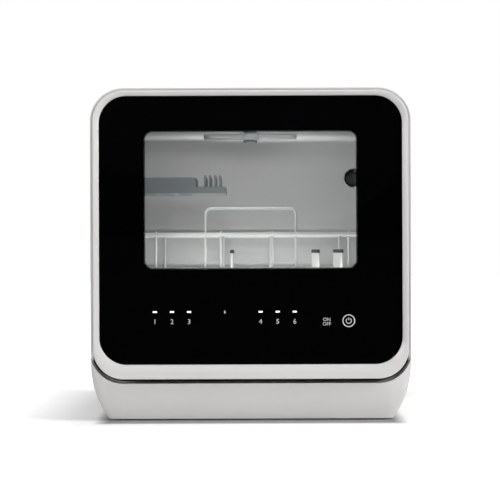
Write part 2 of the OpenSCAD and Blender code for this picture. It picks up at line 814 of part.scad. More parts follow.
module wash_pump_motor() {
  color("#3a3a3c") difference() {
    union() {
      rod_y(pump_x, pump_y, pump_y + 74, pump_z, motor_r);
      rod_y(pump_x, pump_y + 74, pump_y + 80, pump_z, 12);
      block(pump_x - 18, pump_x + 18, pump_y + 10, pump_y + 64, skirt_clear + base_wall, pump_z - 18);
    }
    rod_y(pump_x, pump_y - 1, pump_y + 30, pump_z, 3 + shaft_play);
  }
}

module wash_impeller() {
  color("white") {
    rod_y(pump_x, pump_y - 18, pump_y + 28, pump_z, 3);
    rod_y(pump_x, pump_y - 7, pump_y - 5, pump_z, pump_r - 4);
    for (a = [0:60:300]) translate([pump_x, pump_y, pump_z]) rotate([0, a, 0])
      translate([0, -17, -1]) cube([pump_r - 5, 11, 2]);
  }
}

module drain_pump() {
  color("dimgray") difference() {
    union() {
      rod_y(drain_pump_x, drain_pump_y - 20, drain_pump_y, drain_pump_z, drain_pump_r + 2);
      rod_y(drain_pump_x, drain_pump_y, drain_pump_y + 48, drain_pump_z, 16);
      block(drain_pump_x - 12, drain_pump_x + 12, drain_pump_y - 18, drain_pump_y + 40,
        skirt_clear + base_wall, drain_pump_z - 12);
      rod_y(drain_pump_x, drain_pump_y - 34, drain_pump_y - 18, drain_pump_z, hose_r + 2);
    }
    rod_y(drain_pump_x, drain_pump_y - 18, drain_pump_y - 2, drain_pump_z, drain_pump_r);
    rod_y(drain_pump_x, drain_pump_y - 35, drain_pump_y - 17, drain_pump_z, hose_r);
    rod_y(drain_pump_x, drain_pump_y - 3, drain_pump_y + 24, drain_pump_z, 2 + shaft_play);
  }
}

module drain_impeller() {
  color("white") {
    rod_y(drain_pump_x, drain_pump_y - 14, drain_pump_y + 22, drain_pump_z, 2);
    for (a = [0:90:270]) translate([drain_pump_x, drain_pump_y, drain_pump_z]) rotate([0, a, 0])
      translate([0, -14, -0.8]) cube([drain_pump_r - 2, 10, 1.6]);
  }
}

// Pipe from the drain pump to the back, in straight runs with ball corners.
module drain_pipe() {
  path = [[drain_pump_x - 20, drain_pump_y - 10, drain_z], [drain_x, drain_pump_y - 10, drain_z],
    [drain_x, panel_y - 16, drain_z]];
  color("#3c3c3e") difference() {
    union() {
      for (i = [0:1]) wire(path[i], path[i + 1], 8);
      translate(path[1]) sphere(8);
    }
    rod_y(drain_pump_x, drain_pump_y - 21, drain_pump_y + 1, drain_pump_z, drain_pump_r + 2);
  }
}

module drain_outlet() {
  color(dark) difference() {
    union() {
      rod_y(drain_x, panel_y - 16, back_y - 2, drain_z, drain_r);
      rod_y(drain_x, panel_y + panel_t, panel_y + panel_t + 2, drain_z, drain_r + 6);
    }
    rod_y(drain_x, panel_y - 17, back_y, drain_z, drain_r - 2.5);
  }
}

module water_tank() {
  color("whitesmoke") difference() {
    block(tank_x0, tank_x1, tank_y0, tank_y1, tank_z0, tank_z1);
    block(tank_x0 + tank_wall, tank_x1 - tank_wall, tank_y0 + tank_wall, tank_y1 - tank_wall,
      tank_z0 + tank_wall, tank_z1 - tank_wall);
    block(lid_x - lid_w / 2 + 6, lid_x + lid_w / 2 - 6, lid_hinge_y - lid_d + 4, lid_hinge_y - 8,
      tank_z1 - tank_wall - 1, tank_z1 + 1);
  }
}

// Funnel from the filling lid down to the tank.
module fill_funnel() {
  x0 = lid_x - lid_w / 2;
  x1 = lid_x + lid_w / 2;
  y0 = lid_hinge_y - lid_d;
  y1 = lid_hinge_y - 6;
  seat_z = body_h - casing_t - 5;
  color("dimgray") difference() {
    union() {
      block(x0 + 4, x1 - 4, y0 + 2, y1, tank_z1, seat_z);
      block(x0 - 6, x1 + 6, y0 - 4, lid_hinge_y + 8, seat_z - 2, seat_z);
      for (x = [x0 - 1, x1 - 3]) block(x, x + 4, lid_hinge_y - 4, lid_hinge_y + 4, seat_z - 1, body_h - 0.5);
    }
    block(x0 + 4 + funnel_wall, x1 - 4 - funnel_wall, y0 + 2 + funnel_wall, y1 - funnel_wall,
      tank_z1 - 1, seat_z + 1);
    rod_x(x0 - 3, x1 + 3, lid_hinge_y, lid_hinge_z, 1.5 + shaft_play);
  }
}

module fill_lid() {
  x0 = lid_x - lid_w / 2 + 4;
  x1 = lid_x + lid_w / 2 - 4;
  color(silver) {
    block(x0, x1, lid_hinge_y - lid_d + fit, lid_hinge_y, body_h - lid_t, body_h);
    rod_x(x0, x1, lid_hinge_y, lid_hinge_z, 2.5);
    rod_x(x0 - 4.5, x1 + 4.5, lid_hinge_y, lid_hinge_z, 1.5);
    block(x0 + 6, x1 - 6, lid_hinge_y - lid_d + 8, lid_hinge_y - lid_d + 10, body_h - lid_t - 3, body_h - lid_t);
  }
}

module inlet_valve() {
  color("dimgray") difference() {
    union() {
      rod_y(fan_x, panel_y - 12, back_y - 1, inlet_z, inlet_r);
      rod_y(fan_x, panel_y - 14, panel_y, inlet_z, inlet_r + 5);
      block(fan_x - 16, fan_x + 16, panel_y - 46, panel_y - 14, inlet_z - 18, inlet_z + 22);
      block(fan_x - 12, fan_x + 12, tub_y1, panel_y - 40, inlet_z - 12, inlet_z + 4);
    }
    rod_y(fan_x, panel_y - 8, back_y, inlet_z, inlet_r - 3);
  }
}

// ---- fan, electrics and switches ----

module fan_housing() {
  y0 = tub_y1;
  color("#2c2c2e") difference() {
    block(fan_x - fan_box, fan_x + fan_box, y0, panel_y, fan_z - fan_box, fan_z + fan_box);
    rod_y(fan_x, y0 + 14, panel_y + 1, fan_z, fan_r + 1);
    rod_y(fan_x, y0 - 1, y0 + 15, fan_z, duct_r);
  }
  // strut and pin that carry the rotor
  color("#2c2c2e") {
    block(fan_x - fan_box + 2, fan_x + fan_box - 2, panel_y - 6, panel_y - 2, fan_z - 3, fan_z + 3);
    rod_y(fan_x, panel_y - 30, panel_y - 4, fan_z, fan_shaft);
  }
}

module fan_rotor() {
  y0 = panel_y - 28;
  color("#454547") difference() {
    union() {
      rod_y(fan_x, y0, y0 + 18, fan_z, 9);
      for (a = [0:45:315]) translate([fan_x, y0 + 9, fan_z]) rotate([0, a, 0]) rotate([35, 0, 0])
        translate([6, -7, -0.8]) cube([fan_r - 7.5, 14, 1.6]);
    }
    rod_y(fan_x, y0 - 5, y0 + 19, fan_z, fan_shaft + shaft_play);
  }
}

board_x1 = body_w / 2 - 22;
power_board_w = 70;
power_board_d = 120;
board_rise = 6;
module power_board() {
  z0 = skirt_clear + base_wall;
  x0 = board_x1 - power_board_w;
  y0 = -power_board_d / 2;
  z1 = z0 + board_rise;
  color("darkgreen") {
    block(x0, board_x1, y0, -y0, z1, z1 + board_t);
    for (x = [x0 + 6, board_x1 - 10], y = [y0 + 6, -y0 - 10]) block(x, x + 5, y, y + 5, z0, z1);
    block(x0 + 8, x0 + 32, y0 + 16, y0 + 46, z1 + board_t, z1 + 28);
    block(x0 + 38, x0 + 58, y0 + 20, y0 + 36, z1 + board_t, z1 + 20);
    for (i = [0:3]) translate([x0 + 14 + i * 13, -y0 - 36, z1 + board_t]) cylinder(h = 22, r = 5);
  }
}

module door_switch() {
  color(dark) difference() {
    union() {
      block(switch_x - 10, switch_x + 10, tub_y0, tub_y0 + 18, switch_z - 7, switch_z + 7);
      rod_y(switch_x, frame_y + fit, tub_y0 + 1, switch_z, switch_hole_r - fit);
    }
    rod_y(switch_x, frame_y - 1, tub_y0 + 11, switch_z, plunger_r + shaft_play);
  }
}

// Sprung plunger that the closed door stands against.
module switch_plunger() {
  color("white") rod_y(switch_x, door_back_y + fit, tub_y0 + 7, switch_z, plunger_r);
}

module door_lock() {
  z = striker_z;
  color("dimgray") difference() {
    block(-22, 22, tub_y0, tub_y0 + 22, z - 9, z + 9);
    block(-13, 13, tub_y0 - 1, tub_y0 + 16, z - 6, z + 6);
  }
}

module cord_gland() {
  color(dark) difference() {
    union() {
      rod_y(fan_x, panel_y - 6, panel_y + 10, cord_z, cord_r - fit);
      rod_y(fan_x, panel_y + panel_t, panel_y + panel_t + 4, cord_z, cord_r + 3);
      rod_y(fan_x, panel_y - 5, panel_y, cord_z, cord_r + 3);
    }
    rod_y(fan_x, panel_y - 7, panel_y + 11, cord_z, cord_r / 2);
  }
}

// ---- hinges ----

module hinge_brackets() {
  x0 = bracket_x;
  x1 = bracket_x + bracket_t;
  floor_z = skirt_clear + base_wall;
  leg_y = frame_y + base_wall + 2;
  color("silver") both_sides() difference() {
    union() {
      rod_x(x0, x1, hinge_y, hinge_z, eye_r);
      block(x0, x1, hinge_y, leg_y + 20, hinge_z - 4, hinge_z + 4);
      block(x0, x1, leg_y, leg_y + 20, floor_z, hinge_z + 4);
      block(x0 - 26, x1, leg_y, leg_y + 20, floor_z, floor_z + 2.5);
    }
    rod_x(x0 - 1, x1 + 1, hinge_y, hinge_z, pin_r + shaft_play);
    translate([x0 - 14, leg_y + 10, 0]) cylinder(h = 20, r = 2.2);
  }
}

module hinge_pins() {
  color("silver") both_sides()
    rod_x(notch_x0 - pin_grip, notch_x0 + notch_w + pin_grip, hinge_y, hinge_z, pin_r);
}

// Torsion spring round each pin: a wound wire swept along a helix, with both ends straight.
spring_turns = 4;
spring_wire = 0.9;
spring_r = pin_r + 1.5;
spring_x0 = bracket_x + bracket_t + 1.6;
spring_pitch = (notch_x0 + notch_w - fit - spring_wire / 2 - spring_x0) / spring_turns;
function helix_point(t) = [spring_x0 + t * spring_pitch, hinge_y + spring_r * cos(360 * t), hinge_z + spring_r * sin(360 * t)];
module tube(points, r, sides) {
  n = len(points);
  function along(i) = let (d = points[min(i + 1, n - 1)] - points[max(i - 1, 0)]) d / norm(d);
  rings = [for (i = [0:n - 1]) let (d = along(i), u = cross(d, [1, 0.01, 0.02]), a = u / norm(u), b = cross(d, a))
    for (k = [0:sides - 1]) points[i] + r * (cos(360 * k / sides) * a + sin(360 * k / sides) * b)];
  walls = [for (i = [0:n - 2], k = [0:sides - 1]) let (k2 = (k + 1) % sides, p = i * sides)
    each [[p + k, p + sides + k, p + k2], [p + k2, p + sides + k, p + sides + k2]]];
  caps = [for (k = [1:sides - 2]) each [[0, k, k + 1], [(n - 1) * sides, (n - 1) * sides + k + 1, (n - 1) * sides + k]]];
  polyhedron(points = rings, faces = concat(walls, caps));
}
module hinge_springs() {
  path = [for (i = [0:spring_turns * 8]) helix_point(i / 8)];
  color("gray") both_sides() tube(path, spring_wire / 2, 6);
}

// ---- door ----

// Space behind the door's liner, moved forward by t.
module behind_liner(t) {
  back = hinge_back - t;
  low = chamfer_y - t;
  translate([-body_w, hinge_y, hinge_z]) rotate([90, 0, 90]) linear_extrude(2 * body_w)
    polygon([[back, body_h], [back, 0], [low, -hinge_rise], [low, -hinge_rise - 5], [90, -hinge_rise - 5], [90, body_h]]);
}

module hinge_notches() {
  both_sides() block(notch_x0, notch_x0 + notch_w, hinge_y - eye_r - 0.4, door_back_y + 1,
    door_z0 - 1, hinge_z + eye_r + 3);
}

// Rounded front edge in section: reach outwards, depth t, rounding e.
module rim_section(reach, t, e) {
  translate([0, e]) square([reach, t - e]);
  square([reach - e, t]);
  translate([reach - e, e]) circle(e);
}

// Slab with rounded corners and a rounded front edge.
module door_slab(w, h, r, t, e) {
  translate([0, front_y, door_z0 + door_h / 2]) stand() {
    for (a = [0:3]) rotate([0, 0, a * 90]) {
      across = (a % 2 == 0) ? w : h;
      along = (a % 2 == 0) ? h : w;
      translate([across / 2 - r, along / 2 - r, 0]) rotate_extrude(angle = 90) rim_section(r, t, e);
      translate([across / 2 - r, along / 2 - r, 0]) rotate([90, 0, 0]) linear_extrude(along - 2 * r) rim_section(r, t, e);
    }
    translate([-(w / 2 - r), -(h / 2 - r), 0]) cube([w - 2 * r, h - 2 * r, t]);
  }
}

// Material that the rounded inner edge of the rim leaves out, round an opening in its front.
module seat_edge(w, h, r, e) {
  translate([0, front_y, glass_z]) stand() for (a = [0:3]) rotate([0, 0, a * 90]) {
    across = (a % 2 == 0) ? w : h;
    along = (a % 2 == 0) ? h : w;
    translate([across / 2 - r, along / 2 - r, 0]) rotate_extrude(angle = 90) seat_edge_section(r, e);
    translate([across / 2 - r, along / 2 - r, 0]) rotate([90, 0, 0]) linear_extrude(along - 2 * r) seat_edge_section(r, e);
  }
}

module seat_edge_section(r, e) {
  difference() {
    translate([r - 0.5, -0.5]) square([e + 0.5, e + 0.5]);
    translate([r + e, e]) circle(e);
  }
}

grip_y0 = front_y + 12;
grip_y1 = grip_y0 + 17;
module door_frame() {
  ledge = 7;
  color(silver) difference() {
    union() {
      difference() {
        door_slab(door_w, door_h, corner_r, door_t, rim_round);
        plate(glass_w + 2 * fit, glass_h + 2 * fit, glass_r + fit, front_y - 1, glass_z, inside_y - front_y + 1);
        seat_edge(glass_w + 2 * fit, glass_h + 2 * fit, glass_r + fit, rim_inner_round);
        plate(glass_w - 2 * ledge, glass_h - 2 * ledge, glass_r - ledge, front_y, glass_z, frame_wall + inside_y - front_y);
        plate(door_w - 2 * frame_wall, door_h - 2 * frame_wall, corner_r - frame_wall, inside_y + 2,
          door_z0 + door_h / 2, door_t);
      }
      // walls of the finger recess
      block(-grip_w / 2 - 3, grip_w / 2 + 3, grip_y0 - 3, grip_y1 + 3, door_z1 - grip_deep - 3, door_z1 - 1);
      // cheeks that hold the hinge pins
      both_sides() intersection() {
        for (x = [notch_x0 - cheek_t, notch_x0 + notch_w])
          block(x, x + cheek_t, inside_y + 1, door_back_y, door_z0 + 1, hinge_z + 10);
        plate(door_w - 2, door_h - 2, corner_r - 1, inside_y, door_z0 + door_h / 2, door_t);
      }
    }
    block(-grip_w / 2, grip_w / 2, grip_y0, grip_y1, door_z1 - grip_deep, door_z1 + 1);
    behind_liner(liner_t);
    hinge_notches();
    both_sides() rod_x(notch_x0 - pin_grip, notch_x0 + notch_w + pin_grip, hinge_y, hinge_z, pin_r);
  }
}

module door_glass() {
  color([0.1, 0.1, 0.1, 0.5]) plate(glass_w, glass_h, glass_r, glass_y, glass_z, glass_t);
}

module glass_print() {
  color("black") translate([0, print_y, 0]) stand() linear_extrude(print_t) difference() {
    translate([0, glass_z]) rounded(glass_w, glass_h, glass_r);
    translate([0, window_z]) rounded(window_w, window_h, window_r);
    for (x = lights_x) translate([x, lights_z]) square([light_w, light_h], center = true);
  }
}

module window_spacer() {
  y1 = liner_y - inner_pane_t;
  color(dark) difference() {
    plate(window_w + 2 * window_lip, window_h + 2 * window_lip, window_r + window_lip, inside_y, window_z, y1 - inside_y);
    plate(window_w + 2 * window_step, window_h + 2 * window_step, window_r + window_step, inside_y - 1, window_z, door_t);
  }
}

module inner_pane() {
  color([0.6, 0.7, 0.7, 0.4])
    plate(window_w + 2 * window_lip, window_h + 2 * window_lip, window_r + window_lip, liner_y - inner_pane_t, window_z, inner_pane_t);
}

door_screw_points = [for (x = [-1, 1], t = [0.22, 0.45, 0.69, 0.87]) [x * (door_w / 2 - 10), door_z0 + t * door_h]];
module door_liner() {
  color(steel) difference() {
    intersection() {
      translate([0, front_y, door_z0 + door_h / 2]) stand() linear_extrude(door_t)
        rounded(door_w - 2, door_h - 2, corner_r - 1);
      difference() {
        behind_liner(liner_t);
        behind_liner(0);
      }
    }
    plate(window_w + 2 * window_step, window_h + 2 * window_step, window_r + window_step, liner_y - 1, window_z, door_t);
    hinge_notches();
    block(-cup_w / 2 - 2, cup_w / 2 + 2, liner_y - 1, door_back_y + 1, cup_z - cup_h / 2 - 2, cup_z + cup_h / 2 + 2);
    for (p = door_screw_points) rod_y(p[0], liner_y - 1, door_back_y + 1, p[1], 1.4 + fit);
    rod_y(0, liner_y - 1, door_back_y + 1, striker_z, 2.5);
  }
}

module door_screws() {
  color("silver") for (p = door_screw_points) screw_y(p[0], door_back_y, p[1], 1.2, 5);
}

module control_board() {
  y0 = inside_y + board_gap;
  color("darkgreen") {
    block(31 - notch_x0, notch_x0 - 26, y0, y0 + board_t, lights_z - 30, lights_z + 14);
    block(-30, 6, y0 + board_t, y0 + board_t + 4, lights_z - 20, lights_z - 2);
    block(60, 84, y0 + board_t, y0 + board_t + 5, lights_z - 16, lights_z + 6);
  }
}

module touch_pads() {
  color("dimgray") {
    for (x = lights_x) rod_y(x, inside_y, inside_y + board_gap, lights_z - 13, 5);
    rod_y(power_key_x, inside_y, inside_y + board_gap, lights_z - power_key_drop, 6);
  }
}

module indicator_lights() {
  color("white") for (x = lights_x)
    block(x - light_w / 2 + 0.1, x + light_w / 2 - 0.1, print_y + 0.02, inside_y + board_gap,
      lights_z - light_h / 2 + 0.1, lights_z + light_h / 2 - 0.1);
}

module detergent_cup() {
  slot_h = cup_h + 4;
  color("dimgray") difference() {
    union() {
      block(-cup_w / 2 - 2, cup_w / 2 + 2, door_back_y - cup_deep, door_back_y, cup_z - cup_h / 2 - 2, cup_z + cup_h / 2 + 2);
      block(-cup_w / 2 - 6, cup_w / 2 + 6, liner_y - 2, liner_y, cup_z - cup_h / 2 - 6, cup_z + cup_h / 2 + 6);
      block(-cup_w / 2 - 6, cup_w / 2 + lid_slide + 8, door_back_y, door_back_y + bezel_t, cup_z - cup_h / 2 - 6, cup_z + cup_h / 2 + 6);
    }
    block(-cup_w / 2, cup_w / 2, door_back_y - cup_deep + 2, door_back_y + bezel_t + 1, cup_z - cup_h / 2, cup_z + cup_h / 2);
    block(-cup_w / 2 - 2 - slide_gap, cup_w / 2 + lid_slide + 4, door_back_y + 0.2, door_back_y + 2.4,
      cup_z - slot_h / 2 - fit, cup_z + slot_h / 2 + fit);
  }
}

module detergent_lid() {
  y0 = door_back_y + 0.6;
  color("lightgray") {
    block(-cup_w / 2 - 2, cup_w / 2 + 2, y0, y0 + 1.4, cup_z - cup_h / 2 - 2, cup_z + cup_h / 2 + 2);
    block(-cup_w / 2 + 3, -cup_w / 2 + 7, y0, y0 + 3, cup_z - 12, cup_z + 12);
  }
}

module door_striker() {
  z = striker_z;
  color("silver") {
    rod_y(0, liner_y - 1, door_back_y, z, 2.4);
    rod_y(0, door_back_y, door_back_y + 1.5, z, 6);
    block(-7, 7, door_back_y + 1, door_back_y + 14, z - 2, z);
    block(-7, 7, door_back_y + 10, door_back_y + 14, z - 4, z + 1);
  }
}

// ---- basket ----

// Loop in front that rises above the top rail and runs down to the floor rail.
module front_loop() {
  y = basket_y - basket_d / 2 + rail_r + wire_r - weld;
  r = 9;
  top = basket_z1 + loop_h;
  both_sides() {
    translate([loop_half_w, y, basket_z0]) cylinder(h = top - r - basket_z0, r = wire_r, $fn = 24);
    translate([loop_half_w - r, y, top - r]) rotate([90, 0, 0]) rotate_extrude(angle = 90)
      translate([r, 0]) circle(wire_r, $fn = 24);
  }
  wire([-loop_half_w + r, y, top], [loop_half_w - r, y, top], wire_r);
}

upright_x = [for (t = [-0.38, -0.12, 0.088, 0.393]) t * basket_w];
upright_y = [for (t = [-0.336, -0.112, 0.112, 0.336]) t * basket_d];
module basket_rails() {
  color(wire_grey) {
    front_loop();
    for (z = [basket_z0, glide_rail_z, basket_z1]) rail_ring(basket_w, basket_d, basket_r, z, rail_r);
    for (x = upright_x, s = [-1, 1])
      translate([x, basket_y + s * (basket_d / 2 - rail_r - wire_r + 1), basket_z0]) cylinder(h = basket_h, r = wire_r, $fn = 24);
    for (y = upright_y, s = [-1, 1])
      translate([s * (basket_w / 2 - rail_r - wire_r + 1), basket_y + y, basket_z0]) cylinder(h = basket_h, r = wire_r, $fn = 24);
  }
}

module basket_floor() {
  long_step = (basket_w - 2 * basket_r) / (long_wires - 1);
  cross_step = (basket_d - 2 * basket_r) / (cross_wires - 1);
  color(wire_grey) {
    for (i = [0:long_wires - 1]) let (x = -basket_w / 2 + basket_r + i * long_step)
      wire([x, basket_y - basket_d / 2 - 1, floor_wire_z], [x, basket_y + basket_d / 2 + 1, floor_wire_z], wire_r);
    for (i = [0:cross_wires - 1]) let (y = basket_y - basket_d / 2 + basket_r + i * cross_step)
      wire([-basket_w / 2 + rail_r + 1, y, cross_wire_z], [basket_w / 2 - rail_r - 1, y, cross_wire_z], wire_r);
  }
}

tine_rows = [for (t = [-0.077, 0.274, 0.369]) t * basket_w];
tine_count = cross_wires;
function tine_y(i) = basket_y - basket_d / 2 + basket_r + i * (basket_d - 2 * basket_r) / (cross_wires - 1);
module plate_tines() {
  color(wire_grey) for (x = tine_rows, i = [0:tine_count - 1])
    translate([x, tine_y(i), cross_wire_z + wire_r - weld]) cylinder(h = tine_h, r = wire_r - 0.2, $fn = 24);
}

module tine_tips() {
  z0 = cross_wire_z + wire_r - weld + tine_h;
  color("dimgray") for (x = tine_rows, i = [0:tine_count - 1]) translate([x, tine_y(i), z0]) {
    cylinder(h = 3, r = wire_r + 0.3, $fn = 24);
    translate([0, 0, 3]) sphere(wire_r + 0.3, $fn = 24);
  }
}

glide_l = 26;
module basket_glides() {
  z0 = glide_rail_z - 6 + slide_gap;
  color("lightgray") both_sides() difference() {
    for (y = [basket_y - 0.3 * basket_d, basket_y + 0.22 * basket_d])
      block(basket_w / 2 - 4, basket_w / 2 + basket_side_gap - 4, y, y + glide_l, z0, glide_rail_z + 5);
    wire([basket_w / 2, basket_y - basket_d / 2 + basket_r, glide_rail_z],
      [basket_w / 2, basket_y + basket_d / 2 - basket_r, glide_rail_z], rail_r);
  }
}

base_tray();
gap_strip();
feet();
cabinet_screws();
casing();
front_frame();
rear_panel();
vent_grille();
tub();
tub_seal();
tub_rails();
cutlery_shelf();
sump_bowl();
filter_plate();
heater_element();
lower_arm_bearing();
riser_pipe();
wash_pump_housing();
wash_pump_motor();
drain_pump();
drain_pipe();
drain_outlet();
water_tank();
fill_funnel();
inlet_valve();
fan_housing();
power_board();
door_switch();
switch_plunger();
door_lock();
interior_lamp();
cord_gland();
hinge_brackets();
door_frame();
door_glass();
glass_print();
window_spacer();
inner_pane();
door_liner();
control_board();
touch_pads();
indicator_lights();
detergent_cup();
door_striker();
hinge_pins();
hinge_springs();
door_screws();
basket_rails();
basket_floor();
plate_tines();
tine_tips();
basket_glides();
lower_spray_arm();
upper_spray_arm();
filter_cup();
fill_lid();
detergent_lid();
wash_impeller();
drain_impeller();
fan_rotor();
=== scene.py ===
"""Countertop dishwasher: finishes, shells, door, tub, wire basket and a plain studio.

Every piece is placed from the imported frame, in metres. X runs to the right, the door faces -Y and
Z is up from the worktop.
"""

import logging
import math
from contextlib import contextmanager
from dataclasses import dataclass
from enum import Enum
from typing import Callable, Iterable, Iterator, Optional, Sequence

import bpy
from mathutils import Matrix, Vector


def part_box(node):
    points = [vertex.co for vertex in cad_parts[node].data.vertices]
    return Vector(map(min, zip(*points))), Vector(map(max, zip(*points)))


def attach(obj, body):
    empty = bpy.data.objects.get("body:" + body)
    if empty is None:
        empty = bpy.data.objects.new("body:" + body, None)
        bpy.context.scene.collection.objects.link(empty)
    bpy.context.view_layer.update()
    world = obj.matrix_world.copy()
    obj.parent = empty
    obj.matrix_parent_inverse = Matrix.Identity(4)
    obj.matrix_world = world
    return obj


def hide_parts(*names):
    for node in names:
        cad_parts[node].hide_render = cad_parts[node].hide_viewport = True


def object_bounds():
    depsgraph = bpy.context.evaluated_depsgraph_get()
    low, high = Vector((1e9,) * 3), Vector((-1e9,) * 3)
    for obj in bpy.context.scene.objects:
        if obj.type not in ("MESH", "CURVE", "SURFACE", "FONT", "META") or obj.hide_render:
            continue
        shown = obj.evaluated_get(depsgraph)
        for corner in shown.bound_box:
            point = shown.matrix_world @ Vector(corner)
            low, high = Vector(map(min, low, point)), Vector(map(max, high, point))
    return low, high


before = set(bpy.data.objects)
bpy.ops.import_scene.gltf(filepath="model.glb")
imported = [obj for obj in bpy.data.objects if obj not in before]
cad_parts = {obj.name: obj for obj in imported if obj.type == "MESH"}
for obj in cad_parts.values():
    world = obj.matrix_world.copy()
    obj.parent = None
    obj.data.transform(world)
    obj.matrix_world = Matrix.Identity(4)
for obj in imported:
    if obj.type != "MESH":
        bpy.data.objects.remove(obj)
CAD_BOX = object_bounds()

MM = 0.001
PAST = 10 * MM  # how far a cutting tool reaches past what it cuts
WHITE = (1.0, 1.0, 1.0, 1.0)
log = logging.getLogger("dishwasher")

Colour = tuple[float, float, float, float]
Spot = Sequence[float]
Test = Callable[..., bool]
Piece = bpy.types.Object
Tree = bpy.types.NodeTree
Socket = bpy.types.NodeSocket


class Pick(Enum):
    """What a selection in edit mode is made of."""

    VERTS = "VERT"
    EDGES = "EDGE"
    FACES = "FACE"


class Cut(Enum):
    """How one solid is combined with another."""

    AWAY = "DIFFERENCE"
    WITH = "UNION"
    KEEP = "INTERSECT"


# ---- finishes ------------------------------------------------------------------------------------


def linear(code: str) -> Colour:
    """Turns an sRGB hex colour to linear light.

    Args:
        code: six hex digits, such as "c8c8c6".

    Returns:
        Red, green and blue in linear light, with an alpha of 1.
    """
    parts = [int(code[i:i + 2], 16) / 255 for i in (0, 2, 4)]
    red, green, blue = (p / 12.92 if p <= 0.04045 else ((p + 0.055) / 1.055) ** 2.4 for p in parts)
    return (red, green, blue, 1.0)


def add_node(tree: Tree, kind: str, settings: Optional[dict] = None,
             links: Optional[dict] = None) -> bpy.types.Node:
    """Adds a node with its settings and links.

    Args:
        tree: the tree it goes into.
        kind: Blender's name for the node's type.
        settings: properties by name, and values of input sockets by name or number.
        links: output sockets, by the name or number of the input that each one feeds.

    Returns:
        The new node.
    """
    node = tree.nodes.new(kind)
    for key, value in (settings or {}).items():
        if isinstance(key, str) and hasattr(node, key):
            setattr(node, key, value)
        else:
            node.inputs[key].default_value = value
    for key, source in (links or {}).items():
        tree.links.new(source, node.inputs[key])
    return node


def fresh_tree(owner: bpy.types.ID) -> Tree:
    """Turns nodes on for a material or a world, and returns its tree with nothing in it."""
    owner.use_nodes = True
    owner.node_tree.nodes.clear()
    return owner.node_tree


def coordinates(tree: Tree, kind: str = "Object") -> Socket:
    """The texture coordinates of a kind."""
    return add_node(tree, "ShaderNodeTexCoord").outputs[kind]


def noise(tree: Tree, place: Socket, scale: float, detail: float = 2.0) -> Socket:
    """Soft noise over a place, with a scale in cells per metre."""
    made = add_node(tree, "ShaderNodeTexNoise", {"Scale": scale, "Detail": detail}, {"Vector": place})
    return made.outputs["Fac"]


def ramp(tree: Tree, value: Socket, start: float, end: float, low: float = 0.0, high: float = 1.0) -> Socket:
    """Turns the range from start to end into the range from low to high, held at both ends."""
    limits = {"From Min": start, "From Max": end, "To Min": low, "To Max": high}
    return add_node(tree, "ShaderNodeMapRange", limits, {"Value": value}).outputs["Result"]


def sum_up(tree: Tree, operation: str, first: Socket | float, second: Socket | float,
           clamp: bool = False) -> Socket:
    """Does arithmetic on two values, each of them a socket or a number."""
    node = add_node(tree, "ShaderNodeMath", {"operation": operation, "use_clamp": clamp})
    for spot, value in zip(node.inputs, (first, second)):
        if isinstance(value, Socket):
            tree.links.new(value, spot)
        else:
            spot.default_value = value
    return node.outputs["Value"]


def blend(tree: Tree, share: Socket, first: Socket, second: Socket) -> Socket:
    """Mixes two shaders. A share of 1 shows the second one alone."""
    return add_node(tree, "ShaderNodeMixShader", links={0: share, 1: first, 2: second}).outputs["Shader"]


def press_relief(tree: Tree, shader: bpy.types.Node, height: Socket, deep_mm: float, strength: float) -> None:
    """Presses a pattern into a shader's surface."""
    bump = add_node(tree, "ShaderNodeBump", {"Strength": strength, "Distance": deep_mm * MM},
                    {"Height": height})
    tree.links.new(bump.outputs["Normal"], shader.inputs["Normal"])


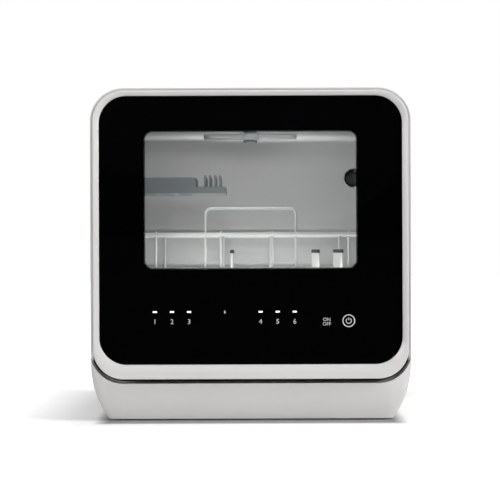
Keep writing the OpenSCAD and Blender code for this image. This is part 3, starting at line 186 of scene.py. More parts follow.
@dataclass(frozen=True)
class Finish:
    """A moulded, painted or rolled surface with its grain.

    Attributes:
        name: the material's name.
        slot: the record's material slot.
        tint: sRGB hex colour.
        roughness: base roughness.
        metallic: 1 for a bare metal.
        coat: weight of a clear layer on top.
        specular: strength of the reflection from the surface itself.
        grain_mm: real size of the surface's grain, drawn no finer than shows.
        relief_mm: height of the grain.
        drift: share by which the colour varies over a palm's width.
        patchiness: how much the roughness varies.
        streak: how far the grain is drawn out along X, Y and Z.
        palm_scale: cells per metre of the colour's drift.
        grain_range: the part of the noise's range that the roughness follows.
    """

    name: str
    slot: str
    tint: str
    roughness: float
    metallic: float = 0.0
    coat: float = 0.0
    specular: float = 0.5
    grain_mm: float = 0.8
    relief_mm: float = 0.02
    drift: float = 0.03
    patchiness: float = 0.06
    streak: tuple[float, float, float] = (1.0, 1.0, 1.0)
    palm_scale: float = 9.0
    grain_range: tuple[float, float] = (0.3, 0.7)

    def material(self) -> bpy.types.Material:
        """Returns the finish as a material, made the first time it is asked for."""
        found = bpy.data.materials.get(self.name)
        if found:
            return found
        made = bpy.data.materials.new(self.name)
        tree = fresh_tree(made)
        surface = self.surface(tree)
        add_node(tree, "ShaderNodeOutputMaterial", links={"Surface": surface})
        return made

    def shader(self, tree: Tree, **extra: float) -> bpy.types.Node:
        """Adds the Principled shader with the values that are the same all over."""
        settings = {"Base Color": linear(self.tint), "Roughness": self.roughness, "Metallic": self.metallic,
                    "Coat Weight": self.coat, "Specular IOR Level": self.specular}
        settings.update({key.replace("_", " "): value for key, value in extra.items()})
        return add_node(tree, "ShaderNodeBsdfPrincipled", settings)

    def grain(self) -> float:
        """The scale of the grain's noise."""
        return 1 / (self.grain_mm * MM)

    def surface(self, tree: Tree) -> Socket:
        """Builds colour drift, patchy roughness and grain relief, and returns the shader's output."""
        shader = self.shader(tree)
        place = coordinates(tree)
        drawn = add_node(tree, "ShaderNodeMapping", {"Scale": self.streak}, {"Vector": place})
        fine = noise(tree, drawn.outputs["Vector"], self.grain(), 3.0)
        low, high = ((*(min(1.0, c * share) for c in linear(self.tint)[:3]), 1.0)
                     for share in (1 - self.drift, 1 + self.drift))
        colour = add_node(tree, "ShaderNodeMix", {"data_type": "RGBA", 6: low, 7: high},
                          {0: noise(tree, place, self.palm_scale)})
        tree.links.new(colour.outputs[2], shader.inputs["Base Color"])
        rough = ramp(tree, fine, *self.grain_range, max(0.02, self.roughness - self.patchiness),
                     min(1.0, self.roughness + self.patchiness))
        tree.links.new(rough, shader.inputs["Roughness"])
        press_relief(tree, shader, fine, self.relief_mm, 0.6)
        return shader.outputs["BSDF"]


@dataclass(frozen=True)
class Glazing(Finish):
    """Clear float glass that lets lamp light through to what is behind it.

    Attributes:
        passing: the light that gets through the pane.
        wipe_scale: cells per metre of the wiping marks.
        smear: the roughness of the marks.
    """

    passing: Colour = (0.93, 0.95, 0.94, 1.0)
    wipe_scale: float = 14.0
    smear: float = 0.012

    def surface(self, tree: Tree) -> Socket:
        """Builds a clear, bending shader that lamps shine through unbent."""
        shader = self.shader(tree, Transmission_Weight=1.0, IOR=1.5)
        wiped = noise(tree, coordinates(tree), self.wipe_scale, 4.0)
        tree.links.new(ramp(tree, wiped, 0.45, 0.75, 0.0, self.smear), shader.inputs["Roughness"])
        through = add_node(tree, "ShaderNodeBsdfTransparent", {"Color": self.passing})
        path = add_node(tree, "ShaderNodeLightPath")
        return blend(tree, path.outputs["Is Shadow Ray"], shader.outputs["BSDF"], through.outputs["BSDF"])


@dataclass(frozen=True)
class Glow(Finish):
    """A light guide or lens that is lit from behind."""

    strength: float = 1.0

    def surface(self, tree: Tree) -> Socket:
        """Builds a diffusing lens with an even glow."""
        shader = self.shader(tree, Emission_Strength=self.strength)
        shader.inputs["Emission Color"].default_value = linear(self.tint)
        press_relief(tree, shader, noise(tree, coordinates(tree), self.grain()), self.relief_mm, 0.2)
        return shader.outputs["BSDF"]


@dataclass(frozen=True)
class DotScreen(Finish):
    """Fired dots that thin out from the print's edge into the clear window, too fine to tell apart.

    Attributes:
        half: half the window's width and height.
        middle: the height of the window's middle.
        corner: the radius of its corners.
        depth: how far the dots reach into it.
    """

    half: tuple[float, float] = (140.5 * MM, 91.3 * MM)
    middle: float = 291.9 * MM
    corner: float = 12 * MM
    depth: float = 3 * MM

    def surface(self, tree: Tree) -> Socket:
        """Mixes the print with clear glass by the distance from the window's rounded edge."""
        shader = self.shader(tree)
        clear = add_node(tree, "ShaderNodeBsdfTransparent")
        square = (self.half[0] - self.corner, 1.0, self.half[1] - self.corner)
        held = coordinates(tree)
        for operation, value in (("SUBTRACT", (0, 0, self.middle)), ("ABSOLUTE", (0, 0, 0)),
                                 ("SUBTRACT", square), ("MAXIMUM", (0, 0, 0))):
            step = add_node(tree, "ShaderNodeVectorMath", {"operation": operation, 1: value}, {0: held})
            held = step.outputs["Vector"]
        away = add_node(tree, "ShaderNodeVectorMath", {"operation": "LENGTH"}, {0: held})
        cover = ramp(tree, away.outputs["Value"], self.corner - self.depth, self.corner)
        return blend(tree, cover, clear.outputs["BSDF"], shader.outputs["BSDF"])


# Injection-moulded ABS with a satin spray: soft highlights, hardly any grain.
SATIN_ABS = Finish("satin_abs", "silver_housing", "d8d6d5", 0.34, coat=0.15, grain_mm=0.9, relief_mm=0.006)
# Powder coat on sheet steel: the same grey, with a faint orange peel of about 1.5 mm.
POWDER_COAT = Finish("powder_coat", "casing_paint", "d6d4d3", 0.55, specular=0.35, grain_mm=1.6,
                     relief_mm=0.02)
# Spark-eroded black ABS: dull, with a fine leather grain.
BLACK_ABS = Finish("black_abs", "dark_plastic", "1c1c1d", 0.5, grain_mm=0.9, relief_mm=0.03)
# Polypropylene, mid-grey, as moulded: waxy and slightly uneven.
GREY_PP = Finish("grey_polypropylene", "grey_plastic", "6f7477", 0.42, grain_mm=1.2, relief_mm=0.02,
                 drift=0.06)
LIGHT_PP = Finish("light_polypropylene", "light_plastic", "c3c5c5", 0.42, grain_mm=1.2, relief_mm=0.02)
WHITE_PP = Finish("white_polypropylene", "white_plastic", "e2e2df", 0.4, grain_mm=1.2, relief_mm=0.02)
# Rolled stainless sheet, satin: fine streaks 0.5 mm apart that run along X.
SATIN_STEEL = Finish("satin_stainless", "tub_steel", "b9bab9", 0.48, metallic=1.0, grain_mm=0.6,
                     relief_mm=0.006, drift=0.05, patchiness=0.1, streak=(0.05, 1.0, 1.0))
# Zinc plate with a clear passivate: bright and blotchy.
ZINC_PLATE = Finish("zinc_plate", "zinc_steel", "b4b6b6", 0.32, metallic=1.0, grain_mm=2.0, relief_mm=0.01,
                    drift=0.1, patchiness=0.12)
# Nylon powder fused on wire: pale, thick and softly glossy.
NYLON_COAT = Finish("nylon_coat", "coated_wire", "c2c3c1", 0.28, coat=0.3, grain_mm=1.5, relief_mm=0.03)
SOFT_RUBBER = Finish("black_rubber", "dark_rubber", "202021", 0.7, grain_mm=0.8, relief_mm=0.03)
SILICONE = Finish("grey_silicone", "grey_rubber", "5f6365", 0.55, grain_mm=1.0, relief_mm=0.02)
# Ceramic frit fired on the glass: the deepest black, seen through the pane.
BLACK_FRIT = Finish("black_frit", "black_print", "020203", 0.6, specular=0.01, grain_mm=0.5, relief_mm=0.001)
DOT_SCREEN = DotScreen("dot_screen", "black_print", "020203", 0.6, specular=0.01)
# Soft vinyl dip on the tines, and the pale nylon of the upper arm.
VINYL_DIP = Finish("vinyl_dip", "grey_plastic", "33363a", 0.5, grain_mm=1.0, relief_mm=0.02)
ARM_NYLON = Finish("arm_nylon", "grey_plastic", "a6aaac", 0.35, grain_mm=1.2, relief_mm=0.02)
WHITE_FRIT = Finish("white_frit", "light_lens", "e6e8e8", 0.6, grain_mm=0.5, relief_mm=0.001)
SOLDER_MASK = Finish("solder_mask", "board_green", "14512b", 0.4, coat=0.3, grain_mm=1.5, relief_mm=0.02)
FLOAT_GLASS = Glazing("float_glass", "clear_glass", "ffffff", 0.0)
LAMP_LENS = Glow("lamp_lens", "light_lens", "f4f6ff", 0.4, strength=6.0)
KEY_LIGHT = Glow("key_light", "light_lens", "f2f6ff", 0.4, strength=1.0)


# ---- the bench: modelling by hand ----------------------------------------------------------------


def every(*parts: Vector) -> bool:
    """A test that every part of a mesh passes."""
    return True


def mode(name: str) -> None:
    """Changes the mode of the active object."""
    bpy.ops.object.mode_set(mode=name)


def clear_bench() -> None:
    """Leaves edit mode and deselects everything."""
    if bpy.context.object and bpy.context.object.mode != "OBJECT":
        mode("OBJECT")
    bpy.ops.object.select_all(action="DESELECT")


def add_object(name: str, data: bpy.types.ID) -> Piece:
    """Puts a new object with its data into the scene."""
    made = bpy.data.objects.new(name, data)
    bpy.context.scene.collection.objects.link(made)
    return made


def take(piece: Piece) -> Piece:
    """Makes a piece the only selected and active one."""
    clear_bench()
    piece.select_set(True)
    bpy.context.view_layer.objects.active = piece
    return piece


def settle(piece: Piece) -> Piece:
    """Applies place, turn and scale, so that the mesh holds them."""
    take(piece)
    bpy.ops.object.transform_apply(location=True, rotation=True, scale=True)
    return piece


@contextmanager
def picked(piece: Piece, kind: Pick, test: Test = every) -> Iterator[int]:
    """Holds a piece in edit mode, with the parts of its mesh selected that pass a test.

    Args:
        piece: the object.
        kind: whether vertices, edges or faces are tested.
        test: takes a vertex's place, an edge's two ends, or a face's centre and normal.

    Yields:
        How many passed.
    """
    take(piece)
    mode("EDIT")
    bpy.ops.mesh.select_mode(type=kind.value)
    bpy.ops.mesh.select_all(action="DESELECT")
    mode("OBJECT")
    mesh = piece.data
    spots = mesh.vertices
    if kind is Pick.VERTS:
        chosen = [v for v in spots if test(v.co)]
    elif kind is Pick.EDGES:
        chosen = [e for e in mesh.edges if test(*(spots[i].co for i in e.vertices))]
    else:
        chosen = [f for f in mesh.polygons if test(f.center, f.normal)]
    for part in chosen:
        part.select = True
    mode("EDIT")
    yield len(chosen)
    mode("OBJECT")


@contextmanager
def whole(piece: Piece) -> Iterator[None]:
    """Holds a piece in edit mode with all of its mesh selected."""
    take(piece)
    mode("EDIT")
    bpy.ops.mesh.select_all(action="SELECT")
    yield
    mode("OBJECT")


def outward(piece: Piece) -> Piece:
    """Merges doubles and turns all faces outwards."""
    with whole(piece):
        bpy.ops.mesh.remove_doubles(threshold=1e-6)
        bpy.ops.mesh.normals_make_consistent(inside=False)
    return piece


def apply(piece: Piece, kind: str, **settings) -> Piece:
    """Adds a modifier with its settings and applies it."""
    take(piece)
    modifier = piece.modifiers.new(kind.lower(), kind)
    for key, value in settings.items():
        setattr(modifier, key, value)
    bpy.ops.object.modifier_apply(modifier=modifier.name)
    return piece


def carve(piece: Piece, tool: Piece, how: Cut = Cut.AWAY) -> None:
    """Combines a piece with a tool solid, and puts the tool away."""
    apply(piece, "BOOLEAN", operation=how.value, object=tool, solver="EXACT")
    bpy.data.objects.remove(tool, do_unlink=True)


def sized(name: str, scale: Spot = (1, 1, 1)) -> Piece:
    """Names the newest object and gives it its size."""
    piece = bpy.context.object
    piece.name = name
    piece.scale = scale
    return settle(piece)


def plane(name: str, place: Spot, width: float, height: float, tilt: float = 0.0) -> Piece:
    """Makes a rectangle that lies flat, or is tilted about X."""
    clear_bench()
    bpy.ops.mesh.primitive_plane_add(size=1, location=place, rotation=(tilt, 0, 0))
    return sized(name, (width, height, 1))


def bevel(kind: str, width: float, segments: int) -> None:
    """Rounds the selected vertices or edges, no farther than there is room."""
    bpy.ops.mesh.bevel(affect=kind, offset=width, segments=segments, profile=0.5, clamp_overlap=True)


def round_corners(piece: Piece, radius: float, segments: int, test: Test = every) -> None:
    """Rounds the corners of a flat face that pass a test."""
    with picked(piece, Pick.VERTS, test):
        bevel("VERTICES", radius, segments)


def extrude(step: Spot) -> None:
    """Extrudes the selected faces by a step."""
    bpy.ops.mesh.extrude_region_move(TRANSFORM_OT_translate={"value": step})


def extrude_edges(step: Spot) -> None:
    """Extrudes the selected edges by a step."""
    bpy.ops.mesh.extrude_edges_move(TRANSFORM_OT_translate={"value": step})


def sheet_xz(name: str, width: float, height: float, radius: float, y: float, z: float,
             corners: Test = every, arc: int = 14) -> Piece:
    """Makes a flat upright face with rounded corners.

    Args:
        name: the new object's name.
        width: size along X.
        height: size along Z.
        radius: corner radius.
        y: where it stands.
        z: height of its middle.
        corners: which corners are rounded.
        arc: segments in each rounded corner.

    Returns:
        The face as an object in object mode.
    """
    piece = plane(name, (0, y, z), width, height, math.pi / 2)
    round_corners(piece, radius, arc, corners)
    return piece


def slab_xz(name: str, width: float, height: float, radius: float, y0: float, y1: float, z: float,
            arc: int = 14) -> Piece:
    """Makes an upright slab with rounded corners from y0 back to y1."""
    piece = sheet_xz(name, width, height, radius, y0, z, arc=arc)
    with picked(piece, Pick.FACES):
        extrude((0, y1 - y0, 0))
    return outward(piece)


def block(name: str, low: Spot, high: Spot) -> Piece:
    """Makes a box from its lowest and highest corner."""
    clear_bench()
    bpy.ops.mesh.primitive_cube_add(size=1, location=[(a + b) / 2 for a, b in zip(low, high)])
    return sized(name, [b - a for a, b in zip(low, high)])


def rod(name: str, start: Spot, end: Spot, radius: float, sides: int = 48) -> Piece:
    """Makes a round bar between two points."""
    clear_bench()
    a, b = Vector(start), Vector(end)
    turn = (b - a).to_track_quat("Z", "Y").to_euler()
    bpy.ops.mesh.primitive_cylinder_add(vertices=sides, radius=radius, depth=(b - a).length,
                                        location=(a + b) / 2, rotation=turn)
    return sized(name)


def drill(piece: Piece, centre: Spot, reach: Spot, radius: float, sides: int = 48) -> None:
    """Drills a round hole that reaches as far to both sides of a point."""
    carve(piece, rod("drill", Vector(centre) - Vector(reach), Vector(centre) + Vector(reach), radius, sides))


def soften(piece: Piece, width: float, segments: int = 2, angle: float = 35.0) -> Piece:
    """Rounds every edge sharper than an angle."""
    return apply(piece, "BEVEL", width=width, segments=segments, limit_method="ANGLE",
                 angle_limit=math.radians(angle), harden_normals=False, use_clamp_overlap=True)


def round_edges(piece: Piece, width: float, segments: int, test: Test) -> None:
    """Rounds the edges that pass a test."""
    with picked(piece, Pick.EDGES, test) as count:
        if count:
            bevel("EDGES", width, segments)


def join(name: str, parts: Sequence[Piece]) -> Piece:
    """Joins parts into one object."""
    clear_bench()
    for part in parts:
        part.select_set(True)
    bpy.context.view_layer.objects.active = parts[0]
    if len(parts) > 1:
        bpy.ops.object.join()
    parts[0].name = name
    return parts[0]


def tube(name: str, points: Sequence[Spot], radius: float, closed: bool = False, sides: int = 3) -> Piece:
    """Sweeps a round section along points, as a mesh with closed ends."""
    curve = bpy.data.curves.new(name, "CURVE")
    curve.dimensions = "3D"
    curve.bevel_depth = radius
    curve.bevel_resolution = sides
    curve.use_fill_caps = True
    line = curve.splines.new("POLY")
    line.points.add(len(points) - 1)
    for spot, place in zip(line.points, points):
        spot.co = (*place, 1.0)
    line.use_cyclic_u = closed
    take(add_object(name, curve))
    bpy.ops.object.convert(target="MESH")
    return outward(bpy.context.object)


def arc_points(centre: Spot, u: Spot, v: Spot, radius: float,
               start: float, end: float, steps: int) -> list[Vector]:
    """Points along an arc in the plane of u and v, from one angle to another, in degrees."""
    spots = []
    for i in range(steps + 1):
        a = math.radians(start + (end - start) * i / steps)
        spots.append(Vector(centre) + radius * (math.cos(a) * Vector(u) + math.sin(a) * Vector(v)))
    return spots


def rounded_path(corners: Sequence[Spot], radius: float, closed: bool, steps: int) -> list[Vector]:
    """Rounds the corners of a path.

    Args:
        corners: the path's corner points.
        radius: the radius of each turn.
        closed: whether the last corner runs on to the first.
        steps: pieces in each turn.

    Returns:
        The points of the rounded path.
    """
    spots: list[Vector] = []
    count = len(corners)
    for i, corner in enumerate(corners):
        here = Vector(corner)
        if not closed and i in (0, count - 1):
            spots.append(here)
            continue
        back = (Vector(corners[i - 1]) - here).normalized()
        ahead = (Vector(corners[(i + 1) % count]) - here).normalized()
        half = back.angle(ahead) / 2
        reach = radius / math.tan(half)
        start, end = here + back * reach, here + ahead * reach
        for k in range(steps + 1):
            t = k / steps
            spots.append((1 - t) ** 2 * start + 2 * t * (1 - t) * here + t ** 2 * end)
    return spots


def smooth(piece: Piece, angle: float = 32.0) -> Piece:
    """Shades a piece smooth, except over edges sharper than an angle."""
    take(piece)
    bpy.ops.object.shade_smooth_by_angle(angle=math.radians(angle))
    return piece


def level_normals(piece: Piece) -> Piece:
    """Keeps large flat faces flat in shading, with the bend in the small faces of the rounded edges."""
    return apply(piece, "WEIGHTED_NORMAL", mode="FACE_AREA", weight=50, keep_sharp=True)


def install(piece: Piece, body: str, finish: Finish, stands_for: Iterable[str] = ()) -> Piece:
    """Finishes a new piece and mounts it on its body.

    Args:
        piece: the modelled object.
        body: the body it rides on.
        finish: its finish.
        stands_for: the CAD nodes that it replaces.

    Returns:
        The piece.
    """
    settle(piece)
    outward(piece)
    smooth(piece)
    level_normals(piece)
    piece.data.materials.clear()
    piece.data.materials.append(finish.material())
    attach(piece, body)
    for node in stands_for:
        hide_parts(node)
    log.info("%s on %s, %d faces", piece.name, body, len(piece.data.polygons))
    return piece


def dress(node: str, finish: Finish) -> None:
    """Gives a CAD node its finish, and leaves its mesh alone."""
    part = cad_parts[node]
    part.data.materials.clear()
    part.data.materials.append(finish.material())


def refine(node: str, name: str, body: str, finish: Finish, edge_mm: float, segments: int = 2) -> None:
    """Copies a CAD node's mesh, cleans it, rounds its edges and lets it stand for the node."""
    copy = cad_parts[node].copy()
    copy.data = copy.data.copy()
    copy.name = name
    for key in list(copy.keys()):
        if key.startswith("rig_"):
            del copy[key]
    copy.parent = None
    bpy.context.scene.collection.objects.link(copy)
    outward(copy)
    with whole(copy):
        bpy.ops.mesh.dissolve_limited(angle_limit=math.radians(1.0))
    soften(copy, edge_mm * MM, segments)
    install(copy, body, finish, [node])


def node_box(node: str) -> tuple[Vector, Vector]:
    """The lowest and highest corner of a CAD node."""
    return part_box(node)


def node_middle(node: str) -> Vector:
    """The middle of a CAD node's box."""
    low, high = node_box(node)
    return (low + high) / 2


# ---- cabinet -------------------------------------------------------------------------------------


@dataclass
class Cabinet:
    """Casing, base with its skirt, gap strip, back panel and feet."""

    corner: float = 44 * MM
    sheet: float = 2 * MM
    ease: float = 1.1 * MM
    wall: float = 3 * MM
    plan_radius: float = 34 * MM
    skirt_radius: float = 122 * MM
    skirt_top: float = 75 * MM
    door_gap: float = 5.5 * MM
    door_corner: float = 40 * MM
    side_space: float = 1.5 * MM
    rings: int = 14
    lid_gaps: tuple[float, float, float] = (0.5 * MM, 1 * MM, 3 * MM)
    slot_half: float = 8 * MM
    spigot_hole: float = 13 * MM

    def __post_init__(self) -> None:
        """Reads the places of casing, base and door from the frame."""
        self.casing_low, self.casing_high = node_box("casing")
        self.base_low, self.base_high = node_box("base_tray")
        self.door_low, self.door_high = node_box("door_frame")
        self.seam = self.casing_low.z

    def build_casing(self) -> None:
        """Bends the casing from one sheet and cuts the opening for the filling lid."""
        low, high = self.casing_low, self.casing_high
        middle = (low.z + high.z) / 2
        casing = sheet_xz("casing_shell", high.x - low.x, high.z - low.z, self.corner, low.y, middle,
                          corners=lambda co: co.z > middle, arc=18)
        with picked(casing, Pick.FACES):
            bpy.ops.mesh.delete(type="ONLY_FACE")
        with picked(casing, Pick.EDGES, lambda a, b: max(a.z, b.z) < low.z + 1 * MM):
            bpy.ops.mesh.delete(type="EDGE")
        with picked(casing, Pick.EDGES):
            extrude_edges((0, high.y - low.y, 0))
        outward(casing)
        apply(casing, "SOLIDIFY", thickness=self.sheet, offset=-1.0)
        carve(casing, block("outline", low, high), Cut.KEEP)
        lid_low, lid_high = node_box("fill_lid")
        beside, ahead, behind = self.lid_gaps
        opening = block("lid_opening", (lid_low.x - beside, lid_low.y - ahead, high.z - PAST),
                        (lid_high.x + beside, lid_high.y + behind, high.z + PAST))
        round_edges(opening, 4 * MM, 5, lambda a, b: abs(a.z - b.z) > 5 * MM)
        carve(casing, opening)
        soften(casing, 0.5 * MM, 2, 50)
        install(casing, "root", POWDER_COAT, ["casing"])

    def skirt_inset(self, z: float) -> float:
        """How far the skirt is drawn in at a height."""
        drop = max(0.0, self.skirt_top - z)
        return self.skirt_radius - math.sqrt(self.skirt_radius ** 2 - drop ** 2)

    def base_form(self, name: str, inset: float, top: float) -> Piece:
        """Makes the solid form of the base, drawn in towards the floor.

        Args:
            name: the object's name.
            inset: how far the whole form is drawn inwards.
            top: its upper height.

        Returns:
            A closed solid.
        """
        low, high = self.base_low, self.base_high
        half, front, back = (high.x - low.x) / 2, low.y, high.y - inset
        form = plane(name, (0, (front + back) / 2, top), 2 * half, back - front)
        round_corners(form, self.plan_radius, 14, lambda co: co.y < 0)
        bottom = low.z + inset
        level = top
        for i in range(self.rings + 1):
            z = self.skirt_top + (bottom - self.skirt_top) * i / self.rings
            with picked(form, Pick.FACES, lambda c, n, at=level: abs(c.z - at) < 1e-6 and abs(n.z) > 0.9):
                extrude((0, 0, z - level))
            level = z
        outward(form)
        self.draw_in(form, half, front, back, inset)
        return outward(form)

    def draw_in(self, form: Piece, half: float, front: float, back: float, inset: float) -> None:
        """Moves each ring of the base inwards by what its height asks for."""
        radius = self.plan_radius
        for vertex in form.data.vertices:
            place = vertex.co
            shift = inset + self.skirt_inset(place.z)
            centre = Vector((math.copysign(half - radius, place.x), front + radius, place.z))
            if place.y > back - 1 * MM:
                place.x -= math.copysign(shift, place.x)
            else:
                arm = place - centre
                vertex.co = centre + arm * ((radius - shift) / radius)

    def door_space(self, name: str, extra: float, back: float) -> Piece:
        """The space that the door and its gap take up, grown by a little more."""
        low, high = self.door_low, self.door_high
        half = self.base_high.x + self.side_space + extra
        grow = self.door_gap + extra
        return slab_xz(name, 2 * half, high.z - low.z + 2 * grow, self.door_corner + half - high.x,
                       low.y - 2 * PAST, back, (low.z + high.z) / 2, arc=20)

    def build_base(self) -> None:
        """Moulds the base with its wrap-round front, its bulkhead and the hinge slots."""
        front = self.casing_low.y
        base = self.base_form("base_shell", 0.0, self.seam)
        hollow = self.base_form("hollow", self.wall, self.seam + 1 * MM)
        carve(hollow, self.door_space("inner_space", self.wall + self.ease, front + self.wall))
        carve(base, hollow)
        carve(base, self.door_space("outer_space", self.ease, front))
        pins_high = node_box("hinge_brackets")[1]
        middle = pins_high.z - 4 * MM
        for side in (-1, 1):
            near, far = sorted(side * (pins_high.x + reach) for reach in (2 * MM, -6 * MM))
            carve(base, block("slot", (near, front - 2 * MM, middle - self.slot_half),
                              (far, front + self.wall + 2 * MM, middle + self.slot_half)))
        spigot = node_middle("drain_outlet")
        drill(base, (spigot.x, self.base_high.y, spigot.z), (0, PAST, 0), self.spigot_hole)
        soften(base, 0.6 * MM, 2, 42)
        install(base, "root", SATIN_ABS, ["base_tray"])

    def build_details(self) -> None:
        """Dresses the black strip behind the gap, which is also painted shade for the deep gap, and rounds
        feet, front frame, back panel and grille.
        """
        # The black gap strip is partly a real moulded strip and partly painted shade deep in the door's gap.
        for row in (("gap_strip", "gap_liner_and_shade", "root", BLACK_ABS, 0.3, 1),
                    ("feet", "rubber_feet", "root", SOFT_RUBBER, 0.5),
                    ("front_frame", "mouth_frame", "root", LIGHT_PP, 0.5),
                    ("rear_panel", "back_plate", "root", ZINC_PLATE, 0.3, 1),
                    ("vent_grille", "fan_grille", "root", BLACK_ABS, 0.4),
                    ("drain_outlet", "drain_spigot", "root", BLACK_ABS, 0.5),
                    ("inlet_valve", "inlet_body", "root", GREY_PP, 0.5),
                    ("cord_gland", "gland_nut", "root", BLACK_ABS, 0.4),
                    ("cabinet_screws", "panel_screws", "root", ZINC_PLATE, 0.3),
                    ("fill_lid", "filling_lid", "lid", SATIN_ABS, 0.6, 3)):
            refine(*row)

    def build(self) -> None:
        """Builds the whole cabinet shell."""
        self.build_casing()
        self.build_base()
        self.build_details()


# ---- tub -----------------------------------------------------------------------------------------


@dataclass
class Tub:
    """The pressed steel tub with its seal, rails, lamp and the spray gear inside it."""

    wall: float = 2 * MM
    corner: float = 25 * MM
    flange: float = 7 * MM
    back_round: float = 16 * MM
    lamp_hole: float = 12 * MM
    post_hole: float = 5.3 * MM
    duct_hole: float = 14 * MM
    seal_inset: float = 4 * MM
    seal_radius: float = 3.4 * MM
    seal_corner: float = 30 * MM
    arm_bore: float = 6.05 * MM
    arm_edge: float = 1 * MM
    hub_space: float = 17 * MM
    end_space: float = 13 * MM
    slit: tuple[float, float, float] = (2.4 * MM, 0.7 * MM, 3 * MM)

    def __post_init__(self) -> None:
        """Reads the tub's place from the frame."""
        self.low, self.high = node_box("tub")
        self.half = self.high.x - self.flange - self.wall
        self.floor = self.low.z + self.flange + self.wall
        self.ceiling = self.high.z - self.flange - self.wall
        self.front = self.low.y
        self.back = self.high.y - self.wall

    def build_shell(self) -> None:
        """Presses the tub: a rounded box, open in front, with round back edges and a flange."""
        middle = (self.floor + self.ceiling) / 2
        width, height = 2 * self.half, self.ceiling - self.floor
        shell = slab_xz("wash_tub", width, height, self.corner, self.front, self.back, middle, arc=10)
        round_edges(shell, self.back_round, 6, lambda a, b: min(a.y, b.y) > self.back - 0.1 * MM)
        with picked(shell, Pick.FACES, lambda c, n: n.y < -0.9 and c.y < self.front + 1 * MM):
            bpy.ops.mesh.delete(type="FACE")
        grow = 2 * (self.flange + self.wall)
        with picked(shell, Pick.EDGES, lambda a, b: max(a.y, b.y) < self.front + 0.1 * MM):
            extrude_edges((0, 0, 0))
            bpy.ops.transform.resize(value=((width + grow) / width, 1, (height + grow) / height),
                                     center_override=(0, self.front, middle))
        outward(shell)
        apply(shell, "SOLIDIFY", thickness=self.wall, offset=1.0 if self.faces_out(shell) else -1.0)
        self.cut_holes(shell)
        install(shell, "root", SATIN_STEEL, ["tub"])

    def faces_out(self, shell: Piece) -> bool:
        """True if the shell's side walls point away from its middle."""
        walls = [f for f in shell.data.polygons if abs(f.normal.x) > 0.9]
        return sum(math.copysign(1.0, f.center.x * f.normal.x) for f in walls) > 0

    def cut_holes(self, shell: Piece) -> None:
        """Cuts the mouths of sump, lamp, spray arm's post and air duct."""
        low, high = node_box("filter_plate")
        post, fan = node_middle("upper_spray_arm"), node_middle("fan_housing")
        up, back = Vector((0, 0, 9 * MM)), Vector((0, 9 * MM, 0))
        drill(shell, (low + high) / 2, up, (high.x - low.x) / 2 + 0.3 * MM, 72)
        drill(shell, node_middle("interior_lamp"), (0, 0, 20 * MM), self.lamp_hole)
        drill(shell, (post.x, post.y, self.ceiling), up, self.post_hole)
        drill(shell, (fan.x, self.back, fan.z), back, self.duct_hole)

    def build_seal(self) -> None:
        """Lays the hollow silicone seal round the tub's mouth."""
        low, high = node_box("tub_seal")
        y = (low.y + high.y) / 2
        left, right = low.x + self.seal_inset, high.x - self.seal_inset
        foot, head = low.z + self.seal_inset, high.z - self.seal_inset
        corners = [(left, y, foot), (right, y, foot), (right, y, head), (left, y, head)]
        seal = tube("door_seal", rounded_path(corners, self.seal_corner, True, 12), self.seal_radius, True, 4)
        for vertex in seal.data.vertices:
            vertex.co.y = min(max(vertex.co.y, low.y), high.y)
        install(seal, "root", SILICONE, ["tub_seal"])

    def build_fittings(self) -> None:
        """Rounds the rails, lamp, filter, cutlery tray and riser pipe."""
        for row in (("tub_rails", "basket_rails_left_right", "root", LIGHT_PP, 0.6),
                    ("interior_lamp", "lamp_cover", "root", LAMP_LENS, 0.6),
                    ("filter_plate", "filter_disc", "root", ZINC_PLATE, 0.2, 1),
                    ("filter_cup", "filter_basket", "filter", GREY_PP, 0.4),
                    ("lower_arm_bearing", "lower_arm_post", "root", GREY_PP, 0.5),
                    ("cutlery_shelf", "cutlery_tray", "root", GREY_PP, 0.7),
                    ("riser_pipe", "riser_tube", "root", GREY_PP, 0.5)):
            refine(*row)

    def build_arm(self, node: str, body: str, nozzle_side: int, finish: Finish) -> None:
        """Moulds a spray arm: a tapering hollow bar with a hub and slotted nozzles.

        Args:
            node: the CAD node it stands for.
            body: the body it rides on, which also names it.
            nozzle_side: 1 if the nozzles point up, -1 if they point down.
            finish: its finish.
        """
        low, high = node_box(node)
        centre = (low + high) / 2
        reach = (high.x - low.x) / 2
        width = (high.y - low.y) * 0.7
        edge = self.arm_edge
        arm = plane(body, (centre.x, centre.y, low.z + edge), 2 * reach, width)
        round_corners(arm, width * 0.49, 8)
        with picked(arm, Pick.FACES):
            extrude((0, 0, high.z - low.z - 2 * edge))
        outward(arm)
        round_edges(arm, 2.2 * MM, 4, lambda a, b: abs(a.z - b.z) < 1e-6)
        hub = rod("hub", (centre.x, centre.y, low.z), (centre.x, centre.y, high.z), (high.y - low.y) / 2, 64)
        soften(hub, edge, 3)
        carve(arm, hub, Cut.WITH)
        drill(arm, centre, (0, 0, 2 * PAST), self.arm_bore)
        face = high.z - edge if nozzle_side > 0 else low.z + edge
        for side in (-1, 1):
            for step in range(1, 4):
                along = self.hub_space + step * (reach - self.hub_space - self.end_space) / 3.4
                spot = Vector((centre.x + side * along, centre.y + side * 2 * MM, face))
                self.add_nozzle(arm, spot, nozzle_side)
        install(arm, body, finish, [node])

    def add_nozzle(self, arm: Piece, spot: Vector, nozzle_side: int) -> None:
        """Sets a low round nozzle on an arm and slits it."""
        sink, rise = Vector((0, 0, -1 * MM)), Vector((0, 0, nozzle_side * MM))
        carve(arm, rod("dome", spot + sink, spot + rise, 4 * MM, 24), Cut.WITH)
        carve(arm, block("slit", spot - Vector(self.slit), spot + Vector(self.slit)))

    def build(self) -> None:
        """Builds the tub and all that shows in it."""
        self.build_shell()
        self.build_seal()
        self.build_fittings()
        self.build_arm("lower_spray_arm", "lower_arm", 1, GREY_PP)
        self.build_arm("upper_spray_arm", "upper_arm", -1, ARM_NYLON)


# ---- basket --------------------------------------------------------------------------------------


